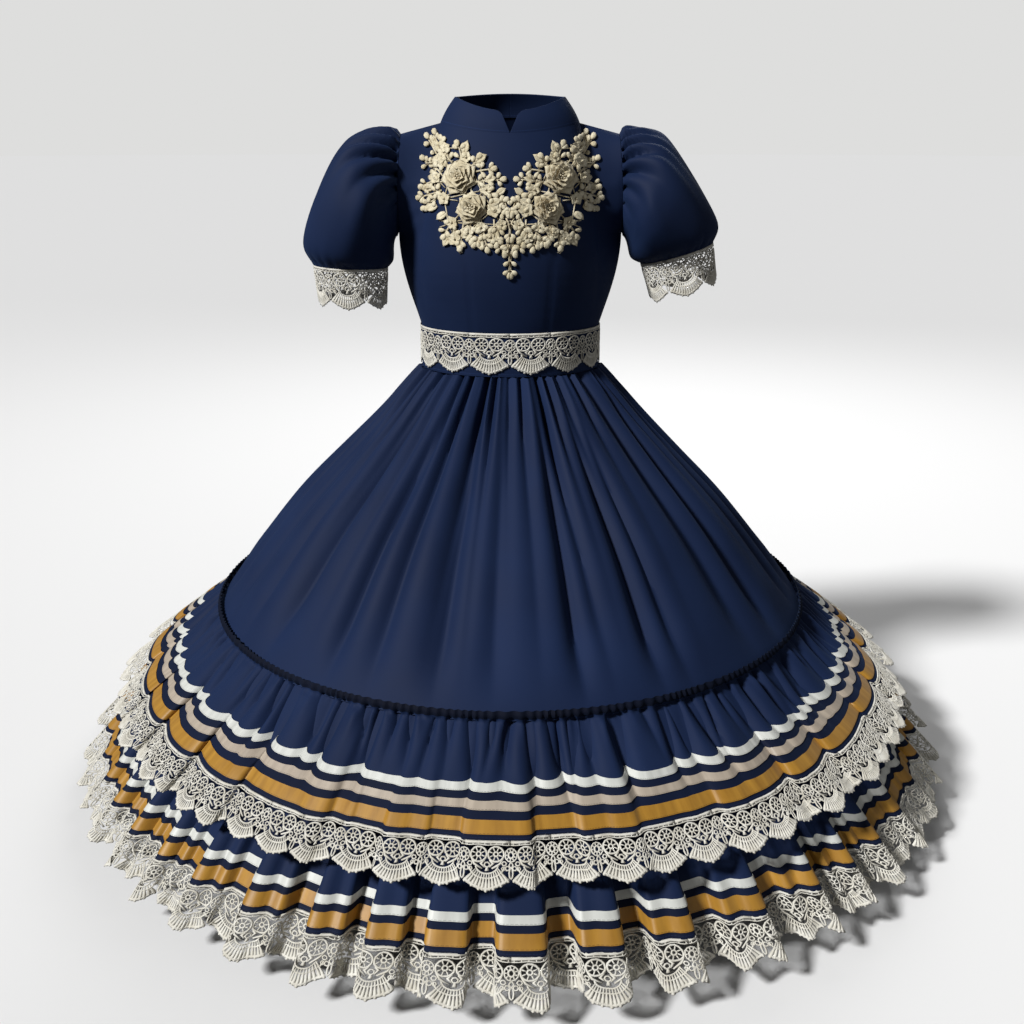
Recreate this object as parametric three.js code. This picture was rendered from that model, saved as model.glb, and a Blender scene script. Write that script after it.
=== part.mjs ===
// Escaramuza dress: fitted bodice with a stand collar and puff sleeves, waistband, gathered skirt and
// two ribboned flounces, all edged with guipure lace. It keeps the hollow form of the figure that wears it.
// Millimetres, +Z up, the front towards -Y and the wearer's left towards +X. The origin is the middle of
// the waist, on the seam between waistband and skirt.
import * as THREE from 'three';

// ---------- driving dimensions ----------
const CLOTH = 1.5; // wall of a cloth panel
const TRIM = 1.2; // wall of ribbon and lace
const COLLAR_WALL = 2; // two layers and their stiffening
const SEAM = 0.3; // gap between two pieces
const LACE_WIDTH = 65;
const CREAM = 0xd6d0c2;
const NAVY = 0x1c2b4d;

const WAIST = { halfWidth: 147, halfDepth: 112, bandTop: 70 };
const WAIST_REPEATS = 14; // of the lace round the waist
const UNDERARM = { x: 180, z: 215 };
const SHOULDER = { x: 172, z: 367 };
const ARMHOLE_DEPTH = 38; // from the shoulder seam forward, and back
const NECK_SIDE = { x: 110, z: 383 };

// ---------- solids from grids of points ----------
const root = new THREE.Group();
const finishes = {
  navy: { color: NAVY, roughness: 0.55, metalness: 0 },
  lace: { color: CREAM, roughness: 0.9, metalness: 0 },
  white: { color: 0xe4e6e4, roughness: 0.4, metalness: 0 },
  beige: { color: 0xc6b6aa, roughness: 0.4, metalness: 0 },
  gold: { color: 0xc2933f, roughness: 0.35, metalness: 0 },
};

function addPiece(name, geometry, finish) {
  const piece = new THREE.Mesh(geometry, new THREE.MeshStandardMaterial(finishes[finish]));
  piece.name = name;
  root.add(piece);
}

// One closed body from its points and its triangles, turned to face out.
function closedBody(points, triangles) {
  const volume = triangles.reduce((sum, [a, b, c]) => {
    const across = new THREE.Vector3().crossVectors(points[b], points[c]);
    return sum + points[a].dot(across);
  }, 0);
  const facing = volume < 0 ? triangles.map(([a, b, c]) => [a, c, b]) : triangles;
  const geometry = new THREE.BufferGeometry().setFromPoints(facing.flat().map((index) => points[index]));
  geometry.computeVertexNormals();
  return geometry;
}

// A wall between two skins, each a grid of rows; a strip has four edges and a tube only two.
function wallBetween(outer, inner, isTube = false) {
  const rows = outer.length;
  const columns = outer[0].length;
  const steps = isTube ? columns : columns - 1;
  const points = [...outer.flat(), ...inner.flat()];
  const at = (skin, row, column) => (skin * rows + row) * columns + (column % columns);
  const triangles = [];
  const quad = (a, b, c, d) => triangles.push([a, b, c], [a, c, d]);
  for (let row = 0; row < rows - 1; row += 1) {
    for (let column = 0; column < steps; column += 1) {
      const next = column + 1;
      quad(at(0, row, column), at(0, row, next), at(0, row + 1, next), at(0, row + 1, column));
      quad(at(1, row, column), at(1, row + 1, column), at(1, row + 1, next), at(1, row, next));
    }
  }
  const last = rows - 1;
  for (let column = 0; column < steps; column += 1) {
    const next = column + 1;
    quad(at(0, 0, column), at(1, 0, column), at(1, 0, next), at(0, 0, next));
    quad(at(0, last, column), at(0, last, next), at(1, last, next), at(1, last, column));
  }
  if (!isTube) {
    for (let row = 0; row < last; row += 1) {
      quad(at(0, row, 0), at(0, row + 1, 0), at(1, row + 1, 0), at(1, row, 0));
      quad(at(0, row, steps), at(1, row, steps), at(1, row + 1, steps), at(0, row + 1, steps));
    }
  }
  return closedBody(points, triangles);
}

// Each point moved along the surface's own normal, which is square to the rows and the columns.
function moveAlongNormals(grid, distance, isTube = false) {
  const columns = grid[0].length;
  return grid.map((row, rowIndex) =>
    row.map((point, column) => {
      const above = grid[Math.max(rowIndex - 1, 0)][column];
      const below = grid[Math.min(rowIndex + 1, grid.length - 1)][column];
      const before = isTube ? row[(column + columns - 1) % columns] : row[Math.max(column - 1, 0)];
      const after = isTube ? row[(column + 1) % columns] : row[Math.min(column + 1, columns - 1)];
      const along = after.clone().sub(before);
      const down = below.clone().sub(above);
      return point.clone().addScaledVector(down.cross(along).normalize(), distance);
    }),
  );
}

// ---------- rings round the body ----------
// A ring starts at the centre back and runs to the wearer's left, the front and the right.
function ring(columns, { radiusX, radiusY = radiusX, z }, ripple = () => 0) {
  return Array.from({ length: columns }, (_, column) => {
    const turn = (2 * Math.PI * column) / columns;
    const out = ripple(column);
    return new THREE.Vector3((radiusX + out) * Math.sin(turn), (radiusY + out) * Math.cos(turn), z);
  });
}

// The ring moved sideways, square to each of its sides, with mitred corners.
function offsetRing(points, distance) {
  const count = points.length;
  const normal = (from, to) => new THREE.Vector3(from.y - to.y, to.x - from.x, 0).normalize();
  return points.map((point, index) => {
    const first = normal(points[(index + count - 1) % count], point);
    const second = normal(point, points[(index + 1) % count]);
    const middle = first.clone().add(second).normalize();
    return point.clone().addScaledVector(middle, distance / middle.dot(first));
  });
}

const mixRings = (top, bottom, share) => top.map((point, index) => point.clone().lerp(bottom[index], share));

// The sideways distance that gives a wall its thickness on a slope.
function onSlope(thickness, top, bottom) {
  const slope = (bottom[0].y - top[0].y) / (top[0].z - bottom[0].z);
  return thickness * Math.hypot(1, slope);
}

// The front half runs from side seam to side seam, and so does the back half, through the centre back.
const HALVES = [
  { suffix: 'front', from: 0.25, to: 0.75, facing: -1 },
  { suffix: 'back', from: 0.75, to: 1.25, facing: 1 },
];

function cutHalf(points, half) {
  const count = points.length;
  const first = Math.round(half.from * count);
  const last = Math.round(half.to * count);
  return Array.from({ length: last - first + 1 }, (_, step) => {
    const point = points[(first + step) % count].clone();
    point.y = half.facing * Math.max(half.facing * point.y, SEAM / 2);
    return point;
  });
}

function addHalves(name, rings, finish) {
  const inner = rings.map((points, index) => {
    const top = rings[Math.max(index - 1, 0)];
    const bottom = rings[Math.min(index + 1, rings.length - 1)];
    return offsetRing(points, -onSlope(CLOTH, top, bottom));
  });
  HALVES.forEach((half) => {
    const cut = (points) => cutHalf(points, half);
    addPiece(`${name}_${half.suffix}`, wallBetween(rings.map(cut), inner.map(cut)), finish);
  });
}

// ---------- lace ----------
// Half of one repeat, from the notch between two scallops to the middle of a scallop. The middle holds half
// of the lace's widest gap, a diamond. Across is a share of the pitch, down a share of the lace's width.
const DIAMOND = [
  { across: 0.5, down: 0.34 },
  { across: 0.4, down: 0.45 },
  { across: 0.5, down: 0.56 },
];
const POINTED = [{ across: 0.5, down: 1 }, { across: 0, down: 0.78 }];
const ROUNDED = [{ across: 0.5, down: 1 }, { across: 0.24, down: 0.94 }, { across: 0, down: 0.78 }];

// surface(across, down, skin) gives the point of a lace strip, with across counted in repeats.
function laceStrip(repeats, scallop, surface) {
  const halfRepeat = [{ across: 0, down: 0 }, { across: 0.5, down: 0 }, ...DIAMOND, ...scallop];
  const contour = halfRepeat.map(({ across, down }) => new THREE.Vector2(across, down));
  const faces = THREE.ShapeUtils.triangulateShape(contour, []);
  const notch = halfRepeat.length - 1;
  const points = [];
  const triangles = [];
  for (let repeat = 0; repeat < repeats; repeat += 1) {
    [false, true].forEach((isMirrored) => {
      const start = points.length;
      [0, 1].forEach((skin) =>
        halfRepeat.forEach(({ across, down }) =>
          points.push(surface(repeat + (isMirrored ? 1 - across : across), down, skin)),
        ),
      );
      const size = halfRepeat.length;
      const place = (corner, skin) => start + skin * size + corner;
      const add = (a, b, c) => triangles.push(isMirrored ? [a, c, b] : [a, b, c]);
      faces.forEach(([a, b, c]) => {
        add(place(a, 0), place(b, 0), place(c, 0));
        add(place(a, 1), place(c, 1), place(b, 1));
      });
      halfRepeat.forEach((corner, index) => {
        const next = (index + 1) % size;
        const isMiddle = corner.across === 0.5 && halfRepeat[next].across === 0.5;
        const isEnd = isMirrored ? repeat === repeats - 1 : repeat === 0;
        if (isMiddle || (index === notch && !isEnd)) return;
        add(place(next, 0), place(index, 0), place(index, 1));
        add(place(next, 0), place(index, 1), place(next, 1));
      });
    });
  }
  return closedBody(points, triangles);
}

const ROUNDING = 1e-9; // keeps a whole number of sides whole

// The point at a share of the way round a ring.
function alongRing(points, share) {
  const position = share * points.length;
  const index = Math.floor(position + ROUNDING);
  const from = points[index % points.length];
  return from.clone().lerp(points[(index + 1) % points.length], position - index);
}

// Lace that hangs between two rings, or lies on them, over some of the repeats that go round.
function ringLace({ top, bottom, wallOffsets, repeats, first, count, scallop }) {
  const skins = wallOffsets.map((distance) => [offsetRing(top, distance), offsetRing(bottom, distance)]);
  const pitch = alongRing(top, first / repeats).distanceTo(alongRing(top, (first + 1) / repeats));
  const margin = SEAM / 2 / pitch;
  return laceStrip(count, scallop, (across, down, skin) => {
    const inside = THREE.MathUtils.clamp(across, margin, count - margin);
    const share = (first + inside) / repeats;
    return alongRing(skins[skin][0], share).lerp(alongRing(skins[skin][1], share), down);
  });
}

// ---------- bodice ----------
const mix = THREE.MathUtils.lerp;
const SHOULDER_STEPS = 2;
const NECK_STEPS = 10; // round half of the neck
const LAST_COLUMN = 2 * SHOULDER_STEPS + NECK_STEPS;
const FRONT_NECK = { depth: 78, height: 368 };
const BACK_NECK = { depth: 70, height: 392 };
const UNDERARM_SHARE = 0.45; // of the way up a panel's side edge
const BODICE_ROWS = [0, 0.15, 0.3, 0.45, 0.5875, 0.725, 0.8625, 1];
const CHEST_HOLD = 2.6; // how long the chest keeps its depth before it turns in to the neck
const EDGE_FADE = 4; // how soon the armhole's curve dies away from the edge
const FULL_LOW = 0.9; // sets the fullest line a little above the middle
const FULL_ACROSS = 0.7; // how far towards the sides the fullness reaches

// The neck seam at an angle from the centre front or back, on that half's own ellipse.
function neckPoint(angle, neck, facing) {
  const side = Math.sin(angle);
  const height = mix(neck.height, NECK_SIDE.z, side * side);
  return new THREE.Vector3(NECK_SIDE.x * side, facing * neck.depth * Math.cos(angle), height);
}

// The side seam up to the underarm, then the armhole round to the shoulder, on the wearer's left.
function sideEdge(up, facing) {
  if (up <= UNDERARM_SHARE) {
    const share = up / UNDERARM_SHARE;
    const width = mix(WAIST.halfWidth, UNDERARM.x, Math.sin((share * Math.PI) / 2));
    return new THREE.Vector3(width, 0, mix(WAIST.bandTop + SEAM, UNDERARM.z, share));
  }
  const turn = (Math.PI * (up - UNDERARM_SHARE)) / (1 - UNDERARM_SHARE);
  const share = (1 - Math.cos(turn)) / 2;
  const x = mix(UNDERARM.x, SHOULDER.x, share);
  return new THREE.Vector3(x, facing * ARMHOLE_DEPTH * Math.sin(turn), mix(UNDERARM.z, SHOULDER.z, share));
}

// The top edge: shoulder seam, half of the neck, shoulder seam. Across runs from -1 to 1.
function topEdge(column, neck, facing) {
  const middle = SHOULDER_STEPS + NECK_STEPS / 2;
  const fromCentre = column - middle;
  const side = Math.sign(fromCentre);
  const steps = Math.abs(fromCentre);
  if (steps <= NECK_STEPS / 2) return neckPoint((side * Math.PI * steps) / NECK_STEPS, neck, facing);
  const share = (steps - NECK_STEPS / 2) / SHOULDER_STEPS;
  return new THREE.Vector3(side * mix(NECK_SIDE.x, SHOULDER.x, share), 0, mix(NECK_SIDE.z, SHOULDER.z, share));
}

// A panel blended between its four edges. The depth keeps to the chest and turns over near the shoulder, and
// the armhole's own curve dies away towards the middle of the panel.
function bodicePoint(column, up, { neck, facing, fullness }) {
  const across = column / LAST_COLUMN;
  const turn = Math.PI * (across - 0.5);
  const hem = (angle) =>
    new THREE.Vector3(
      WAIST.halfWidth * Math.sin(angle),
      facing * WAIST.halfDepth * Math.cos(angle),
      WAIST.bandTop + SEAM,
    );
  const left = sideEdge(up, facing);
  const right = left.clone().setX(-left.x);
  const nearEdge = (2 * across - 1) ** EDGE_FADE;
  const blend = (axis, rise, fade) => {
    const hemAndTop = mix(hem(turn)[axis], topEdge(column, neck, facing)[axis], rise);
    const sides = mix(right[axis], left[axis], across);
    const lowCorners = mix(hem(-Math.PI / 2)[axis], hem(Math.PI / 2)[axis], across);
    const topCorners = mix(topEdge(0, neck, facing)[axis], topEdge(LAST_COLUMN, neck, facing)[axis], across);
    return hemAndTop + fade * (sides - mix(lowCorners, topCorners, rise));
  };
  const fuller = fullness * Math.sin(Math.PI * up ** FULL_LOW) * Math.cos(turn) ** FULL_ACROSS;
  return new THREE.Vector3(
    blend('x', up, 1),
    blend('y', up ** CHEST_HOLD, nearEdge) + facing * fuller,
    blend('z', up, nearEdge),
  );
}

const BODICE_FRONT = { neck: FRONT_NECK, facing: -1, fullness: 20 };
const BODICE_BACK = { neck: BACK_NECK, facing: 1, fullness: 8 };

function bodiceGrid(panel, firstColumn, lastColumn) {
  return BODICE_ROWS.map((up) =>
    Array.from({ length: lastColumn - firstColumn + 1 }, (_, step) =>
      bodicePoint(firstColumn + step, up, panel),
    ),
  );
}

// Stops a panel short of the side and shoulder seams, and a back panel short of the centre back too.
function trimToSeams(grid, facing, side = 0) {
  return grid.map((row) =>
    row.map((point) => {
      const y = facing * Math.max(facing * point.y, SEAM / 2);
      const x = side === 0 ? point.x : side * Math.max(side * point.x, SEAM / 2);
      return new THREE.Vector3(x, y, point.z);
    }),
  );
}

function addBodicePanel(name, panel, firstColumn, lastColumn, side) {
  const outer = bodiceGrid(panel, firstColumn, lastColumn);
  const inner = moveAlongNormals(outer, -panel.facing * CLOTH);
  const trim = (grid) => trimToSeams(grid, panel.facing, side);
  addPiece(name, wallBetween(trim(outer), trim(inner)), 'navy');
}

addBodicePanel('bodice_front', BODICE_FRONT, 0, LAST_COLUMN, 0);
addBodicePanel('bodice_back_right', BODICE_BACK, 0, LAST_COLUMN / 2, -1);
addBodicePanel('bodice_back_left', BODICE_BACK, LAST_COLUMN / 2, LAST_COLUMN, 1);

// ---------- applique ----------
// Two sprays of thick floral guipure on the chest, mirror images, each a plate over the front's own facets
// with two raised roses. The outline is the wearer's left one, from the lowest leaf up the outside.
const APPLIQUE_GAP = 4; // clears the front where it rounds between two points
const APPLIQUE_WALL = 2;
const SPRAY_OUTLINE = [
  { x: 1, z: 163 }, // lowest leaf, at the centre front
  { x: 7, z: 192 },
  { x: 20, z: 188 },
  { x: 13, z: 213 },
  { x: 28, z: 222 },
  { x: 36, z: 203 },
  { x: 45, z: 226 },
  { x: 58, z: 205 },
  { x: 68, z: 222 },
  { x: 92, z: 208 }, // lower outer blossom
  { x: 102, z: 223 },
  { x: 86, z: 240 },
  { x: 96, z: 256 },
  { x: 135, z: 258 }, // outer leaves
  { x: 104, z: 276 },
  { x: 140, z: 291 },
  { x: 108, z: 308 },
  { x: 124, z: 330 },
  { x: 138, z: 361 }, // top leaves, by the shoulder
  { x: 116, z: 346 },
  { x: 104, z: 365 },
  { x: 96, z: 338 },
  { x: 74, z: 331 },
  { x: 42, z: 334 }, // inner leaves
  { x: 48, z: 306 },
  { x: 38, z: 286 },
  { x: 7, z: 300 },
  { x: 22, z: 275 },
  { x: 2, z: 262 },
];
const ROSES = [
  { x: 76, z: 303, radius: 24 },
  { x: 58, z: 260, radius: 20 },
];
// Points inside the outline that keep the plate's facets short, so that it follows the round of the chest.
const INNER_POINTS = [
  { x: 12, z: 232 },
  { x: 24, z: 250 },
  { x: 40, z: 236 },
  { x: 64, z: 234 },
  { x: 84, z: 226 },
  { x: 32, z: 268 },
  { x: 82, z: 266 },
  { x: 90, z: 278 },
  { x: 104, z: 290 },
  { x: 110, z: 264 },
  { x: 52, z: 290 },
  { x: 58, z: 318 },
  { x: 106, z: 330 },
];
const ROSE_CORNERS = 10; // five petals, each a tip and a notch
const ROSE_NOTCH = 0.82; // the notch's share of the rose's radius
const ROSE_LEVELS = [{ share: 0.6, height: 10 }, { share: 0, height: 12 }];

const frontSkin = bodiceGrid(BODICE_FRONT, 0, LAST_COLUMN);
const frontSkinOut = moveAlongNormals(frontSkin, -1);
const frontFacets = frontSkin.slice(1).flatMap((_, row) =>
  frontSkin[row].slice(1).flatMap((__, column) => [
    [[row, column], [row, column + 1], [row + 1, column + 1]],
    [[row, column], [row + 1, column + 1], [row + 1, column]],
  ]),
);

// The point at a height above the front's facet that holds x and z.
function onFront(x, z, height) {
  for (const facet of frontFacets) {
    const [a, b, c] = facet.map(([row, column]) => frontSkin[row][column]);
    const area = (b.x - a.x) * (c.z - a.z) - (c.x - a.x) * (b.z - a.z);
    const shareB = ((x - a.x) * (c.z - a.z) - (c.x - a.x) * (z - a.z)) / area;
    const shareC = ((b.x - a.x) * (z - a.z) - (x - a.x) * (b.z - a.z)) / area;
    const shares = [1 - shareB - shareC, shareB, shareC];
    if (Math.min(...shares) < 0) continue;
    const blend = (grid) =>
      facet.reduce(
        (sum, [row, column], corner) => sum.addScaledVector(grid[row][column], shares[corner]),
        new THREE.Vector3(),
      );
    const foot = blend(frontSkin);
    return foot.addScaledVector(blend(frontSkinOut).sub(foot).normalize(), height);
  }
  throw new Error(`no facet of the front holds ${x}, ${z}`);
}

function sprayBody(side) {
  const roseRing = (rose, share) =>
    Array.from({ length: ROSE_CORNERS }, (_, corner) => {
      const angle = (2 * Math.PI * corner) / ROSE_CORNERS;
      const reach = share * rose.radius * (corner % 2 === 0 ? 1 : ROSE_NOTCH);
      return { x: rose.x + reach * Math.cos(angle), z: rose.z + reach * Math.sin(angle) };
    });
  const flat = [...SPRAY_OUTLINE, ...ROSES.flatMap((rose) => roseRing(rose, 1)), ...INNER_POINTS];
  const asVectors = (list) => list.map(({ x, z }) => new THREE.Vector2(x, z));
  const faces = THREE.ShapeUtils.triangulateShape(asVectors(SPRAY_OUTLINE), [
    ...ROSES.map((rose) => asVectors(roseRing(rose, 1))),
    ...INNER_POINTS.map((point) => asVectors([point])),
  ]);
  const points = [APPLIQUE_GAP + APPLIQUE_WALL, APPLIQUE_GAP].flatMap((height) =>
    flat.map(({ x, z }) => onFront(x, z, height)),
  );
  const under = flat.length;
  const triangles = [...faces, ...faces.map(([a, b, c]) => [under + a, under + c, under + b])];
  SPRAY_OUTLINE.forEach((_, index) => {
    const next = (index + 1) % SPRAY_OUTLINE.length;
    triangles.push([next, index, under + index], [next, under + index, under + next]);
  });
  ROSES.forEach((rose, roseIndex) => {
    const rim = SPRAY_OUTLINE.length + roseIndex * ROSE_CORNERS;
    const [shoulder, heart] = ROSE_LEVELS;
    const raised = points.length;
    points.push(...roseRing(rose, shoulder.share).map(({ x, z }) => onFront(x, z, shoulder.height)));
    const peak = points.push(onFront(rose.x, rose.z, heart.height)) - 1;
    const foot = points.push(onFront(rose.x, rose.z, APPLIQUE_GAP)) - 1;
    for (let corner = 0; corner < ROSE_CORNERS; corner += 1) {
      const next = (corner + 1) % ROSE_CORNERS;
      triangles.push(
        [rim + corner, rim + next, raised + next],
        [rim + corner, raised + next, raised + corner],
        [raised + corner, raised + next, peak],
        [under + rim + next, under + rim + corner, foot],
      );
    }
  });
  return closedBody(points.map((point) => point.setX(side * point.x)), triangles);
}

addPiece('applique_right', sprayBody(-1), 'lace');
addPiece('applique_left', sprayBody(1), 'lace');

// ---------- collar ----------
// Each half runs from the notch in the centre front to the centre back, over the neck's own points.
const COLLAR_TOP = { halfWidth: 86, frontDepth: 64, backDepth: 58, front: 400, side: 422, back: 428 };
const NOTCH_ANGLE = THREE.MathUtils.degToRad(9.5); // how far the top edge opens from the centre front

function addCollarHalf(name, side) {
  const steps = Array.from({ length: NECK_STEPS + 1 }, (_, step) => (Math.PI * step) / NECK_STEPS);
  const base = steps.map((angle) => {
    const isFront = angle <= Math.PI / 2;
    const neck = isFront ? FRONT_NECK : BACK_NECK;
    const point = neckPoint(isFront ? angle : Math.PI - angle, neck, isFront ? -1 : 1);
    return point.setX(side * Math.max(point.x, SEAM / 2)).setZ(point.z + SEAM);
  });
  const top = steps.map((angle) => {
    const turn = mix(NOTCH_ANGLE, Math.PI, angle / Math.PI);
    const isFront = turn <= Math.PI / 2;
    const rise = Math.sin(turn) ** 2;
    const depth = isFront ? -COLLAR_TOP.frontDepth : -COLLAR_TOP.backDepth;
    const height = mix(isFront ? COLLAR_TOP.front : COLLAR_TOP.back, COLLAR_TOP.side, rise);
    const x = side * Math.max(COLLAR_TOP.halfWidth * Math.sin(turn), SEAM / 2);
    return new THREE.Vector3(x, depth * Math.cos(turn), height);
  });
  const inward = (points) =>
    points.map((point) => {
      const inner = point.clone();
      const reach = Math.hypot(point.x, point.y);
      inner.y *= 1 - COLLAR_WALL / reach;
      inner.x = side * Math.max(side * point.x * (1 - COLLAR_WALL / reach), SEAM / 2);
      return inner;
    });
  addPiece(name, wallBetween([base, top], [inward(base), inward(top)]), 'navy');
}

addCollarHalf('collar_right', -1);
addCollarHalf('collar_left', 1);

// ---------- sleeves ----------
// Rings from armhole to cuff, each an ellipse between its outer and its inner point, deep from front to back.
const SLEEVE_RINGS = [
  { outerX: 172.6, outerZ: 367, innerX: 180.6, innerZ: 215, depth: 38, gather: 0 },
  { outerX: 194, outerZ: 377, innerX: 185, innerZ: 211, depth: 62, gather: 3 },
  { outerX: 228, outerZ: 374, innerX: 189, innerZ: 202, depth: 80, gather: 2 },
  { outerX: 266, outerZ: 350, innerX: 191, innerZ: 191, depth: 90, gather: 0 },
  { outerX: 303, outerZ: 285, innerX: 192, innerZ: 180, depth: 90, gather: 0 },
  { outerX: 332, outerZ: 203, innerX: 194, innerZ: 169, depth: 76, gather: 2 },
  { outerX: 321, outerZ: 165, innerX: 200, innerZ: 160, depth: 58, gather: 0 },
];
const CUFF_LACE_RINGS = [
  { outerX: 321, outerZ: 165 - SEAM, innerX: 200, innerZ: 160 - SEAM, depth: 58 },
  { outerX: 314, outerZ: 165 - LACE_WIDTH, innerX: 204, innerZ: 160 - LACE_WIDTH, depth: 56 },
];
const SLEEVE_COLUMNS = 18;
const CUFF_REPEATS = 6;
const CUFF_LACE_STEPS = 4; // straight sides for each repeat of the lace
const SLEEVES = [
  { suffix: 'right', side: -1, lift: 0 },
  { suffix: 'left', side: 1, lift: THREE.MathUtils.degToRad(14) }, // this arm is held further out
];

// Turns a point about the underarm, by a share of the sleeve's lift, and puts it on its own side.
function liftPoint(point, share, { side, lift }) {
  const x = point.x - UNDERARM.x;
  const z = point.z - UNDERARM.z;
  const angle = lift * share;
  const raised = new THREE.Vector3(
    UNDERARM.x + x * Math.cos(angle) - z * Math.sin(angle),
    point.y,
    UNDERARM.z + z * Math.cos(angle) + x * Math.sin(angle),
  );
  return raised.setX(side * raised.x);
}

function sleevePoint(row, turn, out = 0) {
  const centreX = (row.outerX + row.innerX) / 2;
  const centreZ = (row.outerZ + row.innerZ) / 2;
  const half = new THREE.Vector3(row.outerX - centreX, 0, row.outerZ - centreZ);
  const reach = Math.cos(turn) * (1 + out / half.length());
  return new THREE.Vector3(centreX + half.x * reach, (row.depth + out) * Math.sin(turn), centreZ + half.z * reach);
}

function addSleeve(sleeve) {
  const lastRing = SLEEVE_RINGS.length - 1;
  const outer = SLEEVE_RINGS.map((row, index) =>
    Array.from({ length: SLEEVE_COLUMNS }, (_, column) => {
      const out = column % 2 === 0 ? 0 : -row.gather;
      const turn = (2 * Math.PI * column) / SLEEVE_COLUMNS;
      return liftPoint(sleevePoint(row, turn, out), index / lastRing, sleeve);
    }),
  );
  const inner = moveAlongNormals(outer, -sleeve.side * CLOTH, true);
  addPiece(`sleeve_${sleeve.suffix}`, wallBetween(outer, inner, true), 'navy');
}

// The lace tube below a cuff, cut into a front and a back node of half the repeats each.
function addCuffLace(sleeve) {
  const count = CUFF_REPEATS / 2;
  const margin = SEAM / LACE_WIDTH / 2;
  const skinPoint = (row, across, skin) => {
    const position = THREE.MathUtils.clamp(across, margin, count - margin);
    return (start) => {
      const turn = (Math.PI * (start + position)) / count;
      return liftPoint(sleevePoint(row, turn, -skin * TRIM), 1, sleeve);
    };
  };
  [
    { suffix: 'front', start: count },
    { suffix: 'back', start: 0 },
  ].forEach((half) => {
    const geometry = laceStrip(count, ROUNDED, (across, down, skin) => {
      const [top, bottom] = CUFF_LACE_RINGS.map((row) => skinPoint(row, across, skin)(half.start));
      return top.lerp(bottom, down);
    });
    addPiece(`sleeve_lace_${sleeve.suffix}_${half.suffix}`, geometry, 'lace');
  });
}

SLEEVES.forEach((sleeve) => {
  addSleeve(sleeve);
  addCuffLace(sleeve);
});

// ---------- waistband and its lace ----------
const WAIST_COLUMNS = 2 * WAIST_REPEATS;
const waistRow = (z) => ({ radiusX: WAIST.halfWidth, radiusY: WAIST.halfDepth, z });
const bandTop = ring(WAIST_COLUMNS, waistRow(WAIST.bandTop));
const bandFoot = ring(WAIST_COLUMNS, waistRow(0));
const QUARTER = WAIST_COLUMNS / 4;

// Part of the band, from one column to another, short of the seams at its two ends.
function addBandPiece(name, first, last) {
  const cut = (points) =>
    Array.from({ length: last - first + 1 }, (_, step) => {
      const index = first + step;
      const point = points[index % WAIST_COLUMNS].clone();
      if (step > 0 && index < last) return point;
      const neighbour = points[(step === 0 ? index + 1 : index - 1) % WAIST_COLUMNS];
      return point.lerp(neighbour, SEAM / 2 / point.distanceTo(neighbour));
    });
  const rings = [bandTop, bandFoot];
  addPiece(name, wallBetween(rings.map(cut), rings.map((points) => cut(offsetRing(points, -CLOTH)))), 'navy');
}

addBandPiece('waistband_front', QUARTER, 3 * QUARTER);
addBandPiece('waistband_back_right', 3 * QUARTER, WAIST_COLUMNS);
addBandPiece('waistband_back_left', 0, QUARTER);

const waistLace = {
  top: bandTop,
  bottom: ring(WAIST_COLUMNS, waistRow(WAIST.bandTop - LACE_WIDTH)),
  wallOffsets: [SEAM + TRIM, SEAM],
  repeats: WAIST_REPEATS,
  scallop: ROUNDED,
};
[
  { suffix: 'front', first: 3, count: 8 },
  { suffix: 'back_right', first: 11, count: 3 },
  { suffix: 'back_left', first: 0, count: 3 },
].forEach(({ suffix, first, count }) => {
  addPiece(`waist_lace_${suffix}`, ringLace({ ...waistLace, first, count }), 'lace');
});

// ---------- skirt ----------
// Gathers at the waist fade into broad folds, which fade out at the seam with the flounces.
const SKIRT_COLUMNS = 72;
const SKIRT_ROWS = [
  { radiusX: 149, radiusY: 114, z: -SEAM, gather: 3, fold: 0 },
  { radiusX: 216, radiusY: 188, z: -70, gather: 1.5, fold: 4 },
  { radiusX: 360, radiusY: 352, z: -220, gather: 0, fold: 7 },
  { radiusX: 501, radiusY: 501, z: -398, gather: 0, fold: 0 },
];
const FOLD_SIDES = [1, 0.2, -1, 0.1]; // out and in over the four columns of a fold

addHalves(
  'skirt',
  SKIRT_ROWS.map((row) =>
    ring(SKIRT_COLUMNS, row, (column) => {
      const gather = column % 2 === 0 ? row.gather : -row.gather;
      return gather + row.fold * FOLD_SIDES[column % FOLD_SIDES.length];
    }),
  ),
  'navy',
);

// ---------- flounces ----------
// Three columns a wave: two for the broad crest and one for the narrow valley. From the first ribbon down,
// each ring is the one above it scaled about the axis, so the facets stay flat for ribbon and lace to lie on.
const FLOUNCE_COLUMNS = 96;
const WAVE_SIDES = [0.5, 0.5, -1];
const HEM_EDGE = 8; // cloth below the lowest ribbon
const WAVE_VARIETY = 0.2; // the deepest waves are this much deeper than the mean
const WAVE_DRIFT = 2.3; // radians from one wave's size to the next

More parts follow.
